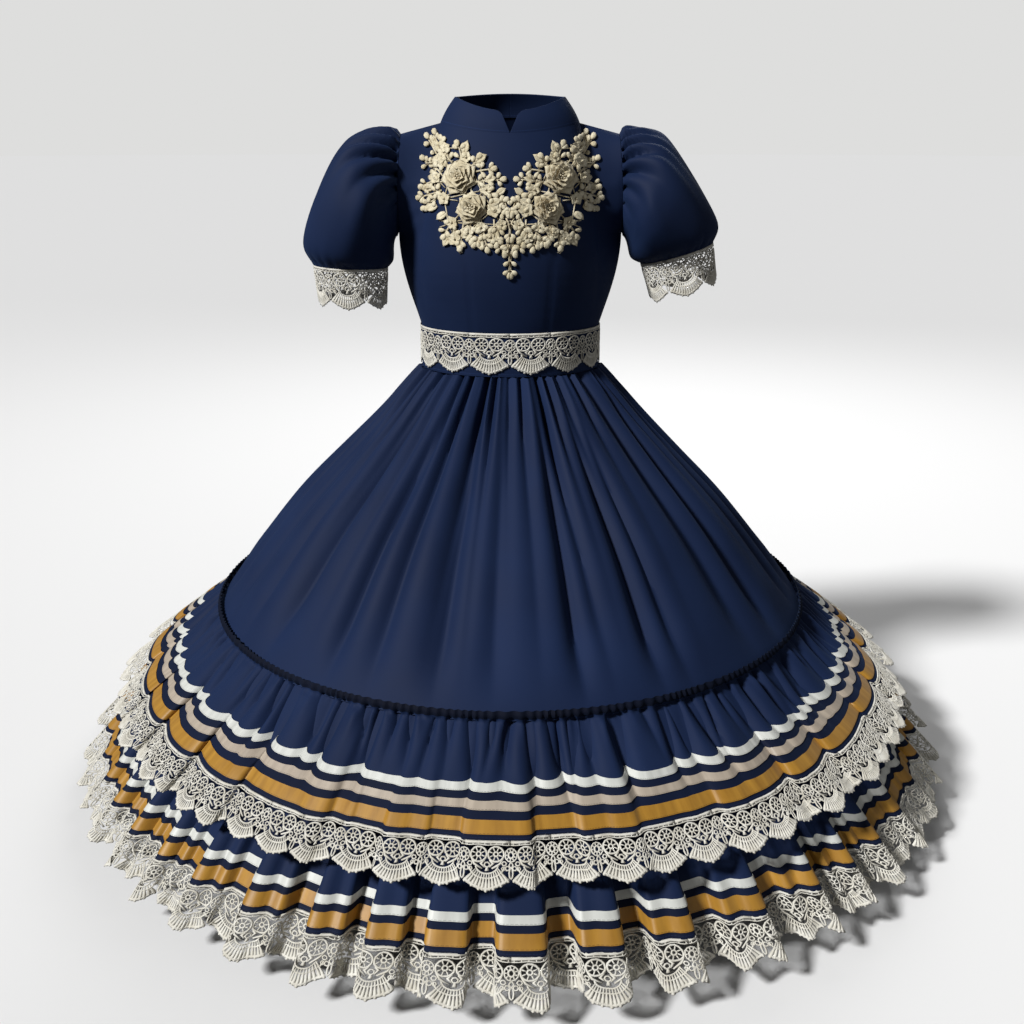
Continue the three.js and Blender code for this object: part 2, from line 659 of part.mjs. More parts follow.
const UPPER = {
  name: 'upper',
  rows: [
    { radiusX: 495.5, z: -385, gather: 5, wave: 0 }, // top of the ruched heading
    { radiusX: 502.9, z: -397, gather: 4, wave: 0 }, // its seam on the skirt
  ],
  ribbonTop: { radiusX: 570, z: -450 },
  hem: { radiusX: 634, z: -498 },
  tip: { radiusX: 686, z: -537 },
  wave: 11,
  repeats: 72,
  ribbons: [
    { colour: 'white', fromHem: 62, width: 12 },
    { colour: 'beige', fromHem: 39, width: 12 },
    { colour: 'gold', fromHem: HEM_EDGE, width: 19 },
  ],
};
const LOWER = {
  name: 'lower',
  rows: [{ radiusX: 491.5, z: -392, gather: 0, wave: 0 }],
  ribbonTop: { radiusX: 671, z: -574 },
  hem: { radiusX: 709, z: -613 },
  tip: { radiusX: 754, z: -660 },
  wave: 24,
  repeats: 84,
  ribbons: [
    { colour: 'white', fromHem: 38, width: 12 },
    { colour: 'gold', fromHem: HEM_EDGE, width: 20 },
  ],
};

function scaleRing(points, from, to) {
  const scale = to.radiusX / from.radiusX;
  return points.map((point) => new THREE.Vector3(point.x * scale, point.y * scale, to.z));
}

function addFlounce(flounce) {
  const { name, ribbonTop, hem, tip } = flounce;
  const upperRings = flounce.rows.map((row) =>
    ring(FLOUNCE_COLUMNS, row, (column) => (column % 2 === 0 ? row.gather : 0)),
  );
  const waveSize = (column) =>
    1 + WAVE_VARIETY * Math.sin(WAVE_DRIFT * Math.floor(column / WAVE_SIDES.length));
  const ribbonRing = ring(FLOUNCE_COLUMNS, ribbonTop, (column) => {
    const side = WAVE_SIDES[column % WAVE_SIDES.length];
    return side * flounce.wave * waveSize(column);
  });
  const hemRing = scaleRing(ribbonRing, ribbonTop, hem);
  addHalves(`${name}_flounce`, [...upperRings, ribbonRing, hemRing], 'navy');

  const slope = onSlope(1, ribbonRing, hemRing);
  const bandWidth = Math.hypot(hem.radiusX - ribbonTop.radiusX, hem.z - ribbonTop.z);
  flounce.ribbons.forEach(({ colour, fromHem, width }) => {
    const edges = [fromHem + width, fromHem].map((up) => mixRings(hemRing, ribbonRing, up / bandWidth));
    const skins = [SEAM + TRIM, SEAM].map((out) => edges.map((edge) => offsetRing(edge, out * slope)));
    addPiece(`${name}_ribbon_${colour}`, wallBetween(...skins, true), colour);
  });

  const laceTop = scaleRing(hemRing, hem, { radiusX: hem.radiusX, z: hem.z - SEAM });
  const quarter = flounce.repeats / 4;
  HALVES.forEach(({ suffix, from }) => {
    const lace = ringLace({
      top: laceTop,
      bottom: scaleRing(hemRing, hem, tip),
      wallOffsets: [0, -TRIM * slope],
      repeats: flounce.repeats,
      first: from * flounce.repeats,
      count: 2 * quarter,
      scallop: POINTED,
    });
    addPiece(`${name}_lace_${suffix}`, lace, 'lace');
  });
}

addFlounce(UPPER);
addFlounce(LOWER);

export default root;
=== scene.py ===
# %% [markdown]
# # An escaramuza dress
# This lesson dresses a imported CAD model: a fitted bodice with a stand collar and puff sleeves, a gathered
# skirt with two ribboned flounces, and guipure lace on every edge. The CAD solids are the frame. They say
# where each piece is, and the looks are built over them, in metres and in the same place.

# %% Load the frame
import math
import random
from functools import partial

import bmesh
import bpy
import numpy as np
from mathutils import Matrix, Vector
from mathutils.bvhtree import BVHTree


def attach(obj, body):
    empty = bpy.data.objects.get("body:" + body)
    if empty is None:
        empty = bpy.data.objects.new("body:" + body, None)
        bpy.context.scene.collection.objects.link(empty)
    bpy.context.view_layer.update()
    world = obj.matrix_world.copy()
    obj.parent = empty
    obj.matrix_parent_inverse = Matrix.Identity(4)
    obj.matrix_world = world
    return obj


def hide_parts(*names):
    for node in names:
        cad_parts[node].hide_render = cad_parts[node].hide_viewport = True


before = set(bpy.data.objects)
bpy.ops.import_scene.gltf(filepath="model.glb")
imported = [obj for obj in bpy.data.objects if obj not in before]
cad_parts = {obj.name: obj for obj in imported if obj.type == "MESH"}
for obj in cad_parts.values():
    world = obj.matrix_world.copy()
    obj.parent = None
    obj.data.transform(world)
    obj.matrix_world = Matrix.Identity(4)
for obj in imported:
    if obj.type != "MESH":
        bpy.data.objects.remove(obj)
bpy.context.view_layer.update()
MM = 0.001  # the measures below are in millimetres

# %% [markdown]
# ## Shader nodes
# A finish is a small net of nodes. It could be wired by hand in the Shader Editor, but a script can be read
# and run again. Each helper adds one node and feeds its inputs: a plain value goes on the node's own socket,
# and the output of another node is linked. A finish then reads as a few lines.


# %% Helpers for nodes
def feed(tree, socket, value):
    """Links an output to a socket, or puts a plain value on it."""
    if isinstance(value, bpy.types.NodeSocket):
        tree.links.new(value, socket)
    else:
        socket.default_value = value


def add_node(tree, kind, settings=None, **inputs):
    """A node with its inputs set by name. A space in a name is written as an underscore."""
    node = tree.nodes.new("ShaderNode" + kind)
    for name, value in (settings or {}).items():
        setattr(node, name, value)
    for title, value in inputs.items():
        feed(tree, node.inputs[title.replace("_", " ")], value)
    return node


def math_node(tree, operation, *values):
    """A Math node. Its inputs all have one name, so they are fed in order."""
    node = add_node(tree, "Math", {"operation": operation})
    for socket, value in zip(node.inputs, values):
        feed(tree, socket, value)
    return node.outputs[0]


def range_node(tree, value, low, high):
    """Spreads a 0 to 1 mask over a range."""
    return add_node(tree, "MapRange", Value=value, To_Min=low, To_Max=high).outputs[0]


def mix_colours(tree, factor, first, second):
    """Mixes two colours, or the outputs that give them, by a mask."""
    node = add_node(tree, "Mix", {"data_type": "RGBA"}, Factor=factor)
    for title, value in (("A", first), ("B", second)):
        feed(tree, node.inputs[title], (*value, 1) if isinstance(value, tuple) else value)
    return node.outputs["Result"]


def new_material(name, roughness, **settings):
    """A Principled material whose plain numbers sit on the shader's own sockets."""
    material = bpy.data.materials.new(name)
    material.use_nodes = True
    tree = material.node_tree
    shader = tree.nodes["Principled BSDF"]
    for title, value in {"Roughness": roughness, **settings}.items():
        feed(tree, shader.inputs[title.replace("_", " ")], value)
    return material, tree, shader


# %% [markdown]
# ## Camera, floor and light
# The camera stands near the height of the collar and looks down at the hem. The floor is a plain pale disc
# and the sky has nearly the same tone, so the horizon stays quiet. One broad sun from the upper left draws
# the folds, and two lamps keep the dark cloth readable from the side and from behind.

# %% Camera
scene = bpy.context.scene
camera_data = bpy.data.cameras.new("camera")
camera_data.lens = 40.36
camera_data.sensor_width = 36
camera = bpy.data.objects.new("camera", camera_data)
camera.location = (0.003, -1.908, 0.369)
camera.rotation_euler = (math.radians(90 - 18.3), 0, 0)
scene.collection.objects.link(camera)
scene.camera = camera
scene.view_settings.view_transform = "Standard"

# %% Floor and sky, which both look paler than they light
FLOOR_Z = -0.70  # just under the lace, so its shadow lies close
floor_mesh = bpy.data.meshes.new("floor")
bm = bmesh.new()
floor_place = Matrix.Translation((0, 0, FLOOR_Z))
bmesh.ops.create_circle(bm, cap_ends=True, segments=96, radius=60, matrix=floor_place)
bm.to_mesh(floor_mesh)
bm.free()
floor_material, tree, shader = new_material("pale_floor", 1.0, Specular_IOR_Level=0)
seen = add_node(tree, "LightPath").outputs["Is Camera Ray"]
feed(tree, shader.inputs["Base Color"], mix_colours(tree, seen, (0.1, 0.1, 0.1), (0.8, 0.8, 0.8)))
floor_mesh.materials.append(floor_material)
floor = bpy.data.objects.new("floor", floor_mesh)
scene.collection.objects.link(floor)

world = bpy.data.worlds.new("pale_world")
world.use_nodes = True
backdrop = world.node_tree.nodes["Background"]
backdrop.inputs["Color"].default_value = (1.0, 1.0, 0.99, 1)
seen = add_node(world.node_tree, "LightPath").outputs["Is Camera Ray"]
feed(world.node_tree, backdrop.inputs["Strength"], range_node(world.node_tree, seen, 0.07, 0.73))
scene.world = world

# %% Lights
LIGHTS = [  # name, place, kind, size in metres or a sun's angle in degrees, energy
    ("key_light", (-2.7, -1.8, 2.6), "SUN", 9, 4.1),
    ("fill_light", (2.6, -1.8, 0.9), "AREA", 2.4, 8),
    ("back_light", (0.6, 2.8, 2.2), "AREA", 2.0, 45),
]
for name, place, kind, size, energy in LIGHTS:
    data = bpy.data.lights.new(name, kind)
    data.energy = energy
    if kind == "SUN":
        data.angle = math.radians(size)
    else:
        data.size = size
    light = bpy.data.objects.new(name, data)
    light.location = place
    aim = Vector((0, 0, -0.2)) - Vector(place)
    light.rotation_euler = aim.to_track_quat("-Z", "Y").to_euler()
    scene.collection.objects.link(light)
print("lights", len(LIGHTS))

# %% [markdown]
# ## How the cloth is bent
# A real panel starts flat, so each piece starts as a flat grid with a UV map in metres. A function then
# places every point: across runs from 0 to 1 along the cut edge, and down runs from 0 to 1 from top to hem.
# A cloth simulation could drape the panels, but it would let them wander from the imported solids, while a
# function keeps every seam where it is. Folds are sums of soft ridges, each with its own place, width and
# length, because a sewing thread never spaces its gathers evenly.


# %% Curves and points
def mix(first, second, share):
    return first + (second - first) * share


def smooth_step(low, high, at):
    """From 0 at low to 1 at high, with no corner."""
    t = np.clip((at - low) / (high - low), 0, 1)
    return t * t * (3 - 2 * t)


def eased(stations, values, at):
    """A smooth curve through values that are given at rising stations."""
    stations, values = np.asarray(stations, float), np.asarray(values, float)
    slopes = np.gradient(values, stations)
    index = np.clip(np.searchsorted(stations, at, side="right") - 1, 0, len(stations) - 2)
    span = stations[index + 1] - stations[index]
    t = (at - stations[index]) / span
    start = (2 * t**3 - 3 * t**2 + 1) * values[index] + (t**3 - 2 * t**2 + t) * slopes[index] * span
    end = (3 * t**2 - 2 * t**3) * values[index + 1] + (t**3 - t**2) * slopes[index + 1] * span
    return start + end


def profile(stations, rows, at):
    """One eased curve for each column of a table."""
    return [eased(stations, column, at) for column in zip(*rows)]


def lengths_down(rows):
    """How far down the cloth each row of a table lies. Its first column is a reach, its last a height."""
    steps = [math.dist((a[0], a[-1]), (b[0], b[-1])) for a, b in zip(rows, rows[1:])]
    return np.cumsum([0, *steps])


def points_at(x, y, z):
    return np.stack(np.broadcast_arrays(x, y, z), axis=-1)


def round_point(half_width, half_depth, height, turn):
    """A point on an ellipse. Its turn starts at the centre back and goes by the wearer's left."""
    return points_at(half_width * np.sin(turn), half_depth * np.cos(turn), height)


# %% Ridges
def bell(away, power=2.0):
    """A ridge of height 1, which has fallen to about a third one unit away."""
    return np.exp(-(np.abs(away) ** power))


def turn_from(line, turn):
    """How far a turn lies from a line, the short way round."""
    return np.angle(np.exp(1j * (turn - line)))


def ridges(turn, down, seed, count, depth, width, reach, spread=1.0, power=2.0):
    """Uneven gathers round a seam at down = 0. Each dies away at its own length. A low power is sharp."""
    draw = random.Random(seed)
    relief = np.zeros_like(turn)
    for index in range(count):
        middle = 2 * math.pi * (index + draw.uniform(-0.34, 0.34)) / count
        size = depth * draw.uniform(0.45, 1.25)
        length = reach * draw.uniform(0.3, 1.15)
        lean = draw.uniform(-0.05, 0.05)
        breadth = width * draw.uniform(0.7, 1.25) * (1 + spread * down)
        away = turn_from(middle + lean * down, turn)
        relief += size * bell(away / breadth, power) * bell(down / length)
    return relief


# %% [markdown]
# A grid becomes cloth in four moves: bend it, turn its faces outwards, give it a UV map in metres, and let a
# Solidify modifier add the thickness inwards. The same helper makes open panels and closed tubes.


# %% From a grid to a piece of cloth
def add_wall(piece, thickness):
    """The cloth's thickness, inwards from the face that shows. Its cut edges stay crisp."""
    wall = piece.modifiers.new("wall", "SOLIDIFY")
    wall.thickness = thickness * MM
    wall.offset = -1
    thin = piece.data
    depsgraph = bpy.context.evaluated_depsgraph_get()
    piece.data = bpy.data.meshes.new_from_object(piece.evaluated_get(depsgraph))
    piece.data.name = piece.name
    piece.modifiers.clear()
    bpy.data.meshes.remove(thin)
    piece.data.set_sharp_from_angle(angle=math.radians(60))


def finish_piece(bm, name, materials, node, thickness=0, slot="navy_cloth"):
    """Makes the object, which rides on the dress and stands for its CAD node."""
    mesh = bpy.data.meshes.new(name)
    bm.to_mesh(mesh)
    bm.free()
    mesh.polygons.foreach_set("use_smooth", [True] * len(mesh.polygons))
    for material in materials:
        mesh.materials.append(material)
    piece = bpy.data.objects.new(name, mesh)
    scene.collection.objects.link(piece)
    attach(piece, "root")
    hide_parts(node)
    print(name, len(mesh.polygons), "faces")
    if thickness:
        add_wall(piece, thickness)
    return piece


def face_outwards(bm, middle):
    """Turns the faces so that most of them look away from the middle."""
    look = sum(face.normal.dot(face.calc_center_median() - middle) * face.calc_area() for face in bm.faces)
    if look < 0:
        bmesh.ops.reverse_faces(bm, faces=bm.faces)


def bent_grid(
    columns, rows, place, flat, is_tube=False, middle=None, top_pull=1.0, top_shade_band=0.0, low_shade_band=0.0
):
    """A bmesh grid whose points are set by place(across, down), in millimetres.

    A top_pull over 1 draws the rows towards the top. Faces above top_shade_band take the second material, and
    faces below low_shade_band the third."""
    bm = bmesh.new()
    uv = bm.loops.layers.uv.new("flat")
    bmesh.ops.create_grid(bm, x_segments=columns, y_segments=rows, size=0.5, calc_uvs=True)
    for vert in bm.verts:
        vert.co.y = 0.5 - (0.5 - vert.co.y) ** top_pull
    for face in bm.faces:
        share = 0.5 - face.calc_center_median().y
        face.material_index = 1 if share < top_shade_band else 2 if share > 1 - low_shade_band else 0
        for loop in face.loops:
            loop[uv].uv = (loop[uv].uv.x * flat[0], (loop.vert.co.y + 0.5) * flat[1])
    across = np.array([vert.co.x + 0.5 for vert in bm.verts])
    down = np.array([0.5 - vert.co.y for vert in bm.verts])
    points = place(across, down) * MM
    for vert, point in zip(bm.verts, points):
        vert.co = point
    if is_tube:
        bmesh.ops.remove_doubles(bm, verts=bm.verts, dist=0.00001)
    bm.normal_update()
    face_outwards(bm, middle or Vector((0, 0, points[:, 2].mean())))
    return bm


def lifted(place, height, step=0.0004):
    """The same surface, moved out along its own normal by a height in millimetres."""

    def place_lifted(across, down):
        side = place(across + step, down) - place(across - step, down)
        drop = place(across, down + step) - place(across, down - step)
        normal = np.cross(side, drop)
        normal /= np.linalg.norm(normal, axis=1, keepdims=True) + 1e-12
        return place(across, down) + normal * np.asarray(height).reshape(-1, 1)

    return place_lifted


# %% [markdown]
# ## Materials
# The dress has navy cloth with a soft sheen, three satin ribbons, cream lace and thick ivory guipure. The
# ruched heading and the flounce cloth below the top ribbon take darker navies as painted shade, the ribbons
# carry a painted sheen and painted pucker shade, and the guipure has painted shade in its dips. Images of
# cloth would need a file and blur up close, so every pattern is worked out by nodes. What the finishes share
# is built once as node groups: a weave, a slow drift of tone, satin streaks along a ribbon, and a line of
# stitches near an edge.

# %% The weave: two sets of threads that pass over each other
FLOAT, COLOUR, VECTOR = "NodeSocketFloat", "NodeSocketColor", "NodeSocketVector"


def new_group(name, inputs, outputs):
    """An empty shader group with named sockets. Gives the group, what comes in and what goes out."""
    group = bpy.data.node_groups.new(name, "ShaderNodeTree")
    for title, kind, value in inputs:
        socket = group.interface.new_socket(name=title, in_out="INPUT", socket_type=kind)
        if value is not None:
            socket.default_value = value
    for title, kind in outputs:
        group.interface.new_socket(name=title, in_out="OUTPUT", socket_type=kind)
    return group, group.nodes.new("NodeGroupInput").outputs, group.nodes.new("NodeGroupOutput").inputs


weave, given, results = new_group(
    "weave", [("Vector", VECTOR, None), ("Threads per metre", FLOAT, 1200.0), ("Slant", FLOAT, 0.6)],
    [("Height", FLOAT)],
)
times = partial(math_node, weave, "MULTIPLY")
flat_place = add_node(weave, "SeparateXYZ", Vector=given["Vector"]).outputs
turns = times(given["Threads per metre"], 2 * math.pi)
slanted = math_node(weave, "ADD", flat_place["X"], times(flat_place["Y"], given["Slant"]))
warp = math_node(weave, "SINE", times(slanted, turns))
weft = math_node(weave, "SINE", times(flat_place["Y"], turns))
over = math_node(weave, "MAXIMUM", warp, times(weft, 0.6))
feed(weave, results["Height"], math_node(weave, "MULTIPLY_ADD", over, 0.5))

# %% The drift of tone: dye, light wear and handling, and on the ribbons painted shade of puckers
drift, given, results = new_group(
    "tone_drift",
    [
        ("Vector", VECTOR, None), ("Dark", COLOUR, (0, 0, 0, 1)), ("Light", COLOUR, (1, 1, 1, 1)),
        ("Scale", FLOAT, 9.0),
    ],
    [("Color", COLOUR), ("Mask", FLOAT)],
)
cloudy = add_node(drift, "TexNoise", Detail=3, Vector=given["Vector"], Scale=given["Scale"]).outputs[0]
ramp = add_node(drift, "MapRange", Value=cloudy, From_Min=0.3, From_Max=0.7).outputs[0]
feed(drift, results["Color"], mix_colours(drift, ramp, given["Dark"], given["Light"]))
feed(drift, results["Mask"], ramp)

# %% Satin streaks: long fine floats of thread along the ribbon
streaks, given, results = new_group("satin_streaks", [("Vector", VECTOR, None)], [("Mask", FLOAT)])
stretch = add_node(streaks, "Mapping", Vector=given["Vector"], Scale=(30, 2600, 1)).outputs[0]
feed(streaks, results["Mask"], add_node(streaks, "TexNoise", Vector=stretch, Scale=1, Detail=2).outputs[0])

# %% A line of stitches, measured on the UV map from the lower edge
stitching, given, results = new_group(
    "stitch_line",
    [("Vector", VECTOR, None), ("Inset", FLOAT, 0.0015), ("Length", FLOAT, 0.003)],
    [("Mask", FLOAT)],
)
flat_place = add_node(stitching, "SeparateXYZ", Vector=given["Vector"]).outputs
from_line = math_node(stitching, "SUBTRACT", flat_place["Y"], given["Inset"])
on_line = math_node(stitching, "LESS_THAN", math_node(stitching, "ABSOLUTE", from_line), 0.00035)
stitch_share = math_node(stitching, "DIVIDE", flat_place["X"], given["Length"])
in_stitch = math_node(stitching, "LESS_THAN", math_node(stitching, "FRACT", stitch_share), 0.7)
feed(stitching, results["Mask"], math_node(stitching, "MULTIPLY", on_line, in_stitch))


# %% Cloth
def group_node(tree, group, **inputs):
    return add_node(tree, "Group", {"node_tree": group}, **inputs).outputs


def add_bump(tree, shader, height, strength, distance):
    """Feeds a height into the shader's normal."""
    bump = add_node(tree, "Bump", Strength=strength, Distance=distance, Height=height)
    feed(tree, shader.inputs["Normal"], bump.outputs[0])


def cloth_material(name, dark, light, roughness, stitch_inset=None):
    """Dyed cloth: tone drift, weave in the bump, and a stitched edge where one is asked for."""
    sheen = {"Sheen_Weight": 0.06, "Sheen_Roughness": 0.5, "Sheen_Tint": (0.2, 0.4, 0.9, 1)}
    material, tree, shader = new_material(name, roughness, Specular_IOR_Level=0.12, **sheen)
    coordinates = add_node(tree, "TexCoord").outputs
    tone = group_node(
        tree, drift, Vector=coordinates["Object"], Dark=(*dark, 1), Light=(*light, 1), Scale=5.0
    )
    colour = tone["Color"]
    height = group_node(tree, weave, Vector=coordinates["UV"], Threads_per_metre=1100.0)["Height"]
    if stitch_inset is not None:
        stitches = group_node(tree, stitching, Vector=coordinates["UV"], Inset=stitch_inset)["Mask"]
        colour = mix_colours(tree, stitches, colour, tuple(1.8 * value for value in light))
        height = math_node(tree, "ADD", height, stitches)
    feed(tree, shader.inputs["Base Color"], colour)
    gloss = range_node(tree, tone["Mask"], roughness - 0.05, roughness + 0.07)
    feed(tree, shader.inputs["Roughness"], gloss)
    add_bump(tree, shader, height, 0.25, 0.0002)
    return material


NAVY = (0.0062, 0.0135, 0.044), (0.0088, 0.0195, 0.062)
navy = cloth_material("navy_cloth", *NAVY, 0.68)
navy_hem = cloth_material("navy_cloth_hem", *NAVY, 0.68, stitch_inset=0.004)
# Painted shade: a darker navy for the flounce cloth below the top ribbon, a near-black one for the ruched
# heading
navy_painted_shade = cloth_material(
    "navy_cloth_painted_shade", (0.0030, 0.0060, 0.020), (0.0048, 0.0095, 0.031), 0.7, stitch_inset=0.004
)
heading_painted_shade = cloth_material("navy_heading_painted_shade", (0.0016, 0.0026, 0.008), (0.0032, 0.0055, 0.016), 0.75)


# %% Ribbon
def ribbon_material(name, dark, light):
    """Woven satin: painted shade of puckers, streaks along its length with gloss and a painted sheen, edge
    stitches.
    """
    material, tree, shader = new_material(name, 0.42, Specular_IOR_Level=0.4, Sheen_Weight=0.1)
    flat_place = add_node(tree, "TexCoord").outputs["UV"]
    across = add_node(tree, "Mapping", Vector=flat_place, Scale=(6, 0.8, 1)).outputs[0]  # painted shade of small puckers along the ribbon
    tone = group_node(tree, drift, Vector=across, Dark=(*dark, 1), Light=(*light, 1), Scale=14.0)
    floats = group_node(tree, streaks, Vector=flat_place)["Mask"]
    stitches = group_node(tree, stitching, Vector=flat_place, Inset=0.0012, Length=0.0028)["Mask"]
    # Painted sheen: the colour is lifted towards the light tone where the satin floats lie
    sheen = mix_colours(tree, range_node(tree, floats, 0, 0.35), tone["Color"], light)
    colour = mix_colours(tree, stitches, sheen, tuple(0.7 * value for value in dark))
    feed(tree, shader.inputs["Base Color"], colour)
    feed(tree, shader.inputs["Roughness"], range_node(tree, floats, 0.38, 0.58))
    add_bump(tree, shader, floats, 0.3, 0.0002)
    return material


ribbons = {
    "white": ribbon_material("white_ribbon", (0.44, 0.45, 0.42), (0.66, 0.67, 0.63)),
    "beige": ribbon_material("beige_ribbon", (0.30, 0.25, 0.20), (0.46, 0.39, 0.31)),
    "gold": ribbon_material("gold_ribbon", (0.25, 0.115, 0.010), (0.43, 0.22, 0.026)),
}


# %% Lace
def lace_material(name, dark, light, hollow_shade=None):
    """Cotton embroidery thread: wound strands in the bump, and a tone that drifts from cream to white.

    Given a shade colour, painted shade darkens the dips between the strands and the places that ambient
    occlusion finds closed in."""
    material, tree, shader = new_material(
        name, 0.78, Sheen_Weight=0.3, Sheen_Roughness=0.5, Specular_IOR_Level=0.3
    )
    place = add_node(tree, "TexCoord").outputs["Object"]
    colour = group_node(tree, drift, Vector=place, Dark=(*dark, 1), Light=(*light, 1), Scale=60.0)["Color"]
    height = group_node(tree, weave, Vector=place, Threads_per_metre=1500.0, Slant=1.0)["Height"]
    if hollow_shade is not None:
        stitches = group_node(tree, weave, Vector=place, Threads_per_metre=330.0, Slant=1.0)["Height"]
        # Painted shade: dips between the strands and closed-in places (ambient occlusion) take the dark
        # shade colour
        deep = math_node(tree, "LESS_THAN", stitches, 0.36)
        open_share = add_node(tree, "AmbientOcclusion", Distance=0.008).outputs["AO"]
        shade = range_node(tree, open_share, 1.0, 0.0)
        hollow_shades = math_node(tree, "MAXIMUM", math_node(tree, "MULTIPLY", deep, 0.35), shade)
        colour = mix_colours(tree, hollow_shades, colour, hollow_shade)
        height = math_node(tree, "ADD", height, stitches)
    feed(tree, shader.inputs["Base Color"], colour)
    add_bump(tree, shader, height, 0.35, 0.0003 if hollow_shade is None else 0.0006)
    return material


cream = lace_material("cream_lace", (0.56, 0.53, 0.45), (0.76, 0.74, 0.67))
# The dark tan given below is painted shade in the guipure's dips and closed-in places
ivory = lace_material(
    "ivory_guipure", (0.64, 0.56, 0.37), (0.86, 0.79, 0.59), hollow_shade=(0.26, 0.18, 0.08)
)
print("materials", [material.name for material in bpy.data.materials])

# %% [markdown]
# ## The skirt
# Two flared panels meet at the side seams. They are gathered into the waistband by about a third, so short
# sharp ridges stand under the band, and most of them die within a hand's length. A few run on and widen into
# broad soft folds that hang to the flounce seam, where the flounces hold the cloth round again. Folds could
# be sculpted one by one. Three sets of ridges are quicker, and a change of count or depth shows at once.

# %% Skirt
HALVES = {"front": math.pi / 2, "back": 3 * math.pi / 2}  # the turn at which each half starts
SKIRT_ROWS = [  # half width, half depth, height
    (149, 114, -0.3), (180, 149, -31), (216, 188, -70), (286, 270, -143), (360, 352, -220),
    (431, 427, -308), (501, 501, -398),
]
SKIRT_LENGTHS = lengths_down(SKIRT_ROWS)
SKIRT_FLAT = (1.60, 0.54)  # each panel, in metres


def skirt_relief(turn, down):
    """Gathers under the band, broad folds below them."""
    gathers = ridges(turn, down, seed=11, count=70, depth=7, width=0.022, reach=0.3, spread=1.2)
    creases = ridges(turn, down, 12, count=48, depth=27, width=0.028, reach=0.9, spread=1.2, power=1.25)
    valleys = ridges(turn, 0 * down, seed=13, count=30, depth=26, width=0.045, reach=1, power=1.4)
    held = smooth_step(0.05, 0.5, down) * (1 - smooth_step(0.8, 1, down))
    return gathers + 2 - creases * (1 - smooth_step(0.75, 1, down)) + (7 - valleys) * held


def skirt_place(start):
    def place(across, down):
        turn = start + math.pi * across
        relief = skirt_relief(turn, down)
        half_width, half_depth, height = profile(SKIRT_LENGTHS / SKIRT_LENGTHS[-1], SKIRT_ROWS, down)
        return round_point(half_width + relief, half_depth + relief, height, turn)

    return place


for half, start in HALVES.items():
    bm = bent_grid(300, 34, skirt_place(start), SKIRT_FLAT)
    skirt = finish_piece(bm, f"skirt_cloth_{half}", [navy], f"skirt_{half}", 1.0)

# %% [markdown]
# ## The flounces
# Each flounce is a long strip gathered onto the skirt. The upper one has a small ruched heading above its
# seam, and hangs in shallow folds. The lower one is fuller and falls in deep box-like folds. A fold is a
# wave whose points also slide sideways: that widens the crest, steepens the flanks and can fold one under.
# A plain wave of height alone can't overlap itself, as gathered cloth does. Ribbons and lace use the same
# surface, so they follow every fold.

# %% The flounces' measures
# rows: radius and height, and hem says which row is the hem. waves: folds all round, each one wave deep.
# lean and overlap: how far folds lie over and tuck under. flare_from: the share down where they begin.
# seam: the share down where gathers begin. heading: the height of the ruched edge above the seam.
# ribbons: colour, distance from the hem, width. repeats: of the lace, all round.
# strip and ribbon_length: the flat lengths of half the cloth and of a ribbon, in metres.
UPPER = {
    "rows": [(502, -383), (505, -390), (504, -396), (514, -404), (570, -450), (634, -498), (686, -537)],
    "hem": 5, "waves": 30, "wave": 14, "phase": 0.4, "lean": 2.0, "overlap": 0.3, "flare_from": 0.16,
    "seam": 0.06, "heading": 13, "repeats": 72, "strip": 2.35, "ribbon_length": 4.45,
    "gathers": {"seed": 21, "count": 128, "depth": 9.0, "width": 0.012, "reach": 0.3},
    "creases": {"seed": 22, "count": 120, "depth": 34.0, "width": 0.0105, "reach": 1.0},
    "ribbons": [("white", 62, 12), ("beige", 39, 12), ("gold", 8, 19)],
}
LOWER = {
    "rows": [(491.5, -392), (581, -483), (671, -574), (709, -613), (754, -660)],
    "hem": 3, "waves": 48, "wave": 31, "phase": 2.1, "lean": 0.8, "overlap": 0.4, "flare_from": 0.1,
    "seam": 0.0, "heading": 0, "repeats": 84, "strip": 2.85, "ribbon_length": 5.65,
    "gathers": {"seed": 31, "count": 110, "depth": 6.0, "width": 0.015, "reach": 0.3},
    "creases": {"seed": 32, "count": 60, "depth": 11.0, "width": 0.011, "reach": 1.6},
    "ribbons": [("white", 38, 12), ("gold", 8, 20)],
}
for flounce in (UPPER, LOWER):
    flounce["lengths"] = lengths_down(flounce["rows"])
    flounce["drop"] = flounce["lengths"][flounce["hem"]]
    flounce["flat"] = (flounce["strip"], flounce["drop"] * MM)
    print("flounce drop", round(flounce["drop"], 1))

# %% The flounces' own surface
PHASE_WAVES = [(0.9, 3, 0.7), (0.7, 7, 2.1), (0.45, 13, 0)]  # size, count all round, start
SIZE_WAVES = [(0.3, 5, 1.3), (0.2, 11, 0.4)]
BOX = 2.2  # how square a box fold is
KNIFE = 0.82  # how sharply a knife fold turns, under 1
PLEATS, PLEAT_DEPTH = 250, 1.6  # fine pleats of the heading, all round
FULL_SIZE_RADIUS = 600  # a wave has its full depth here


def uneven(turn, waves):
    return sum(size * np.sin(count * turn + start) for size, count, start in waves)


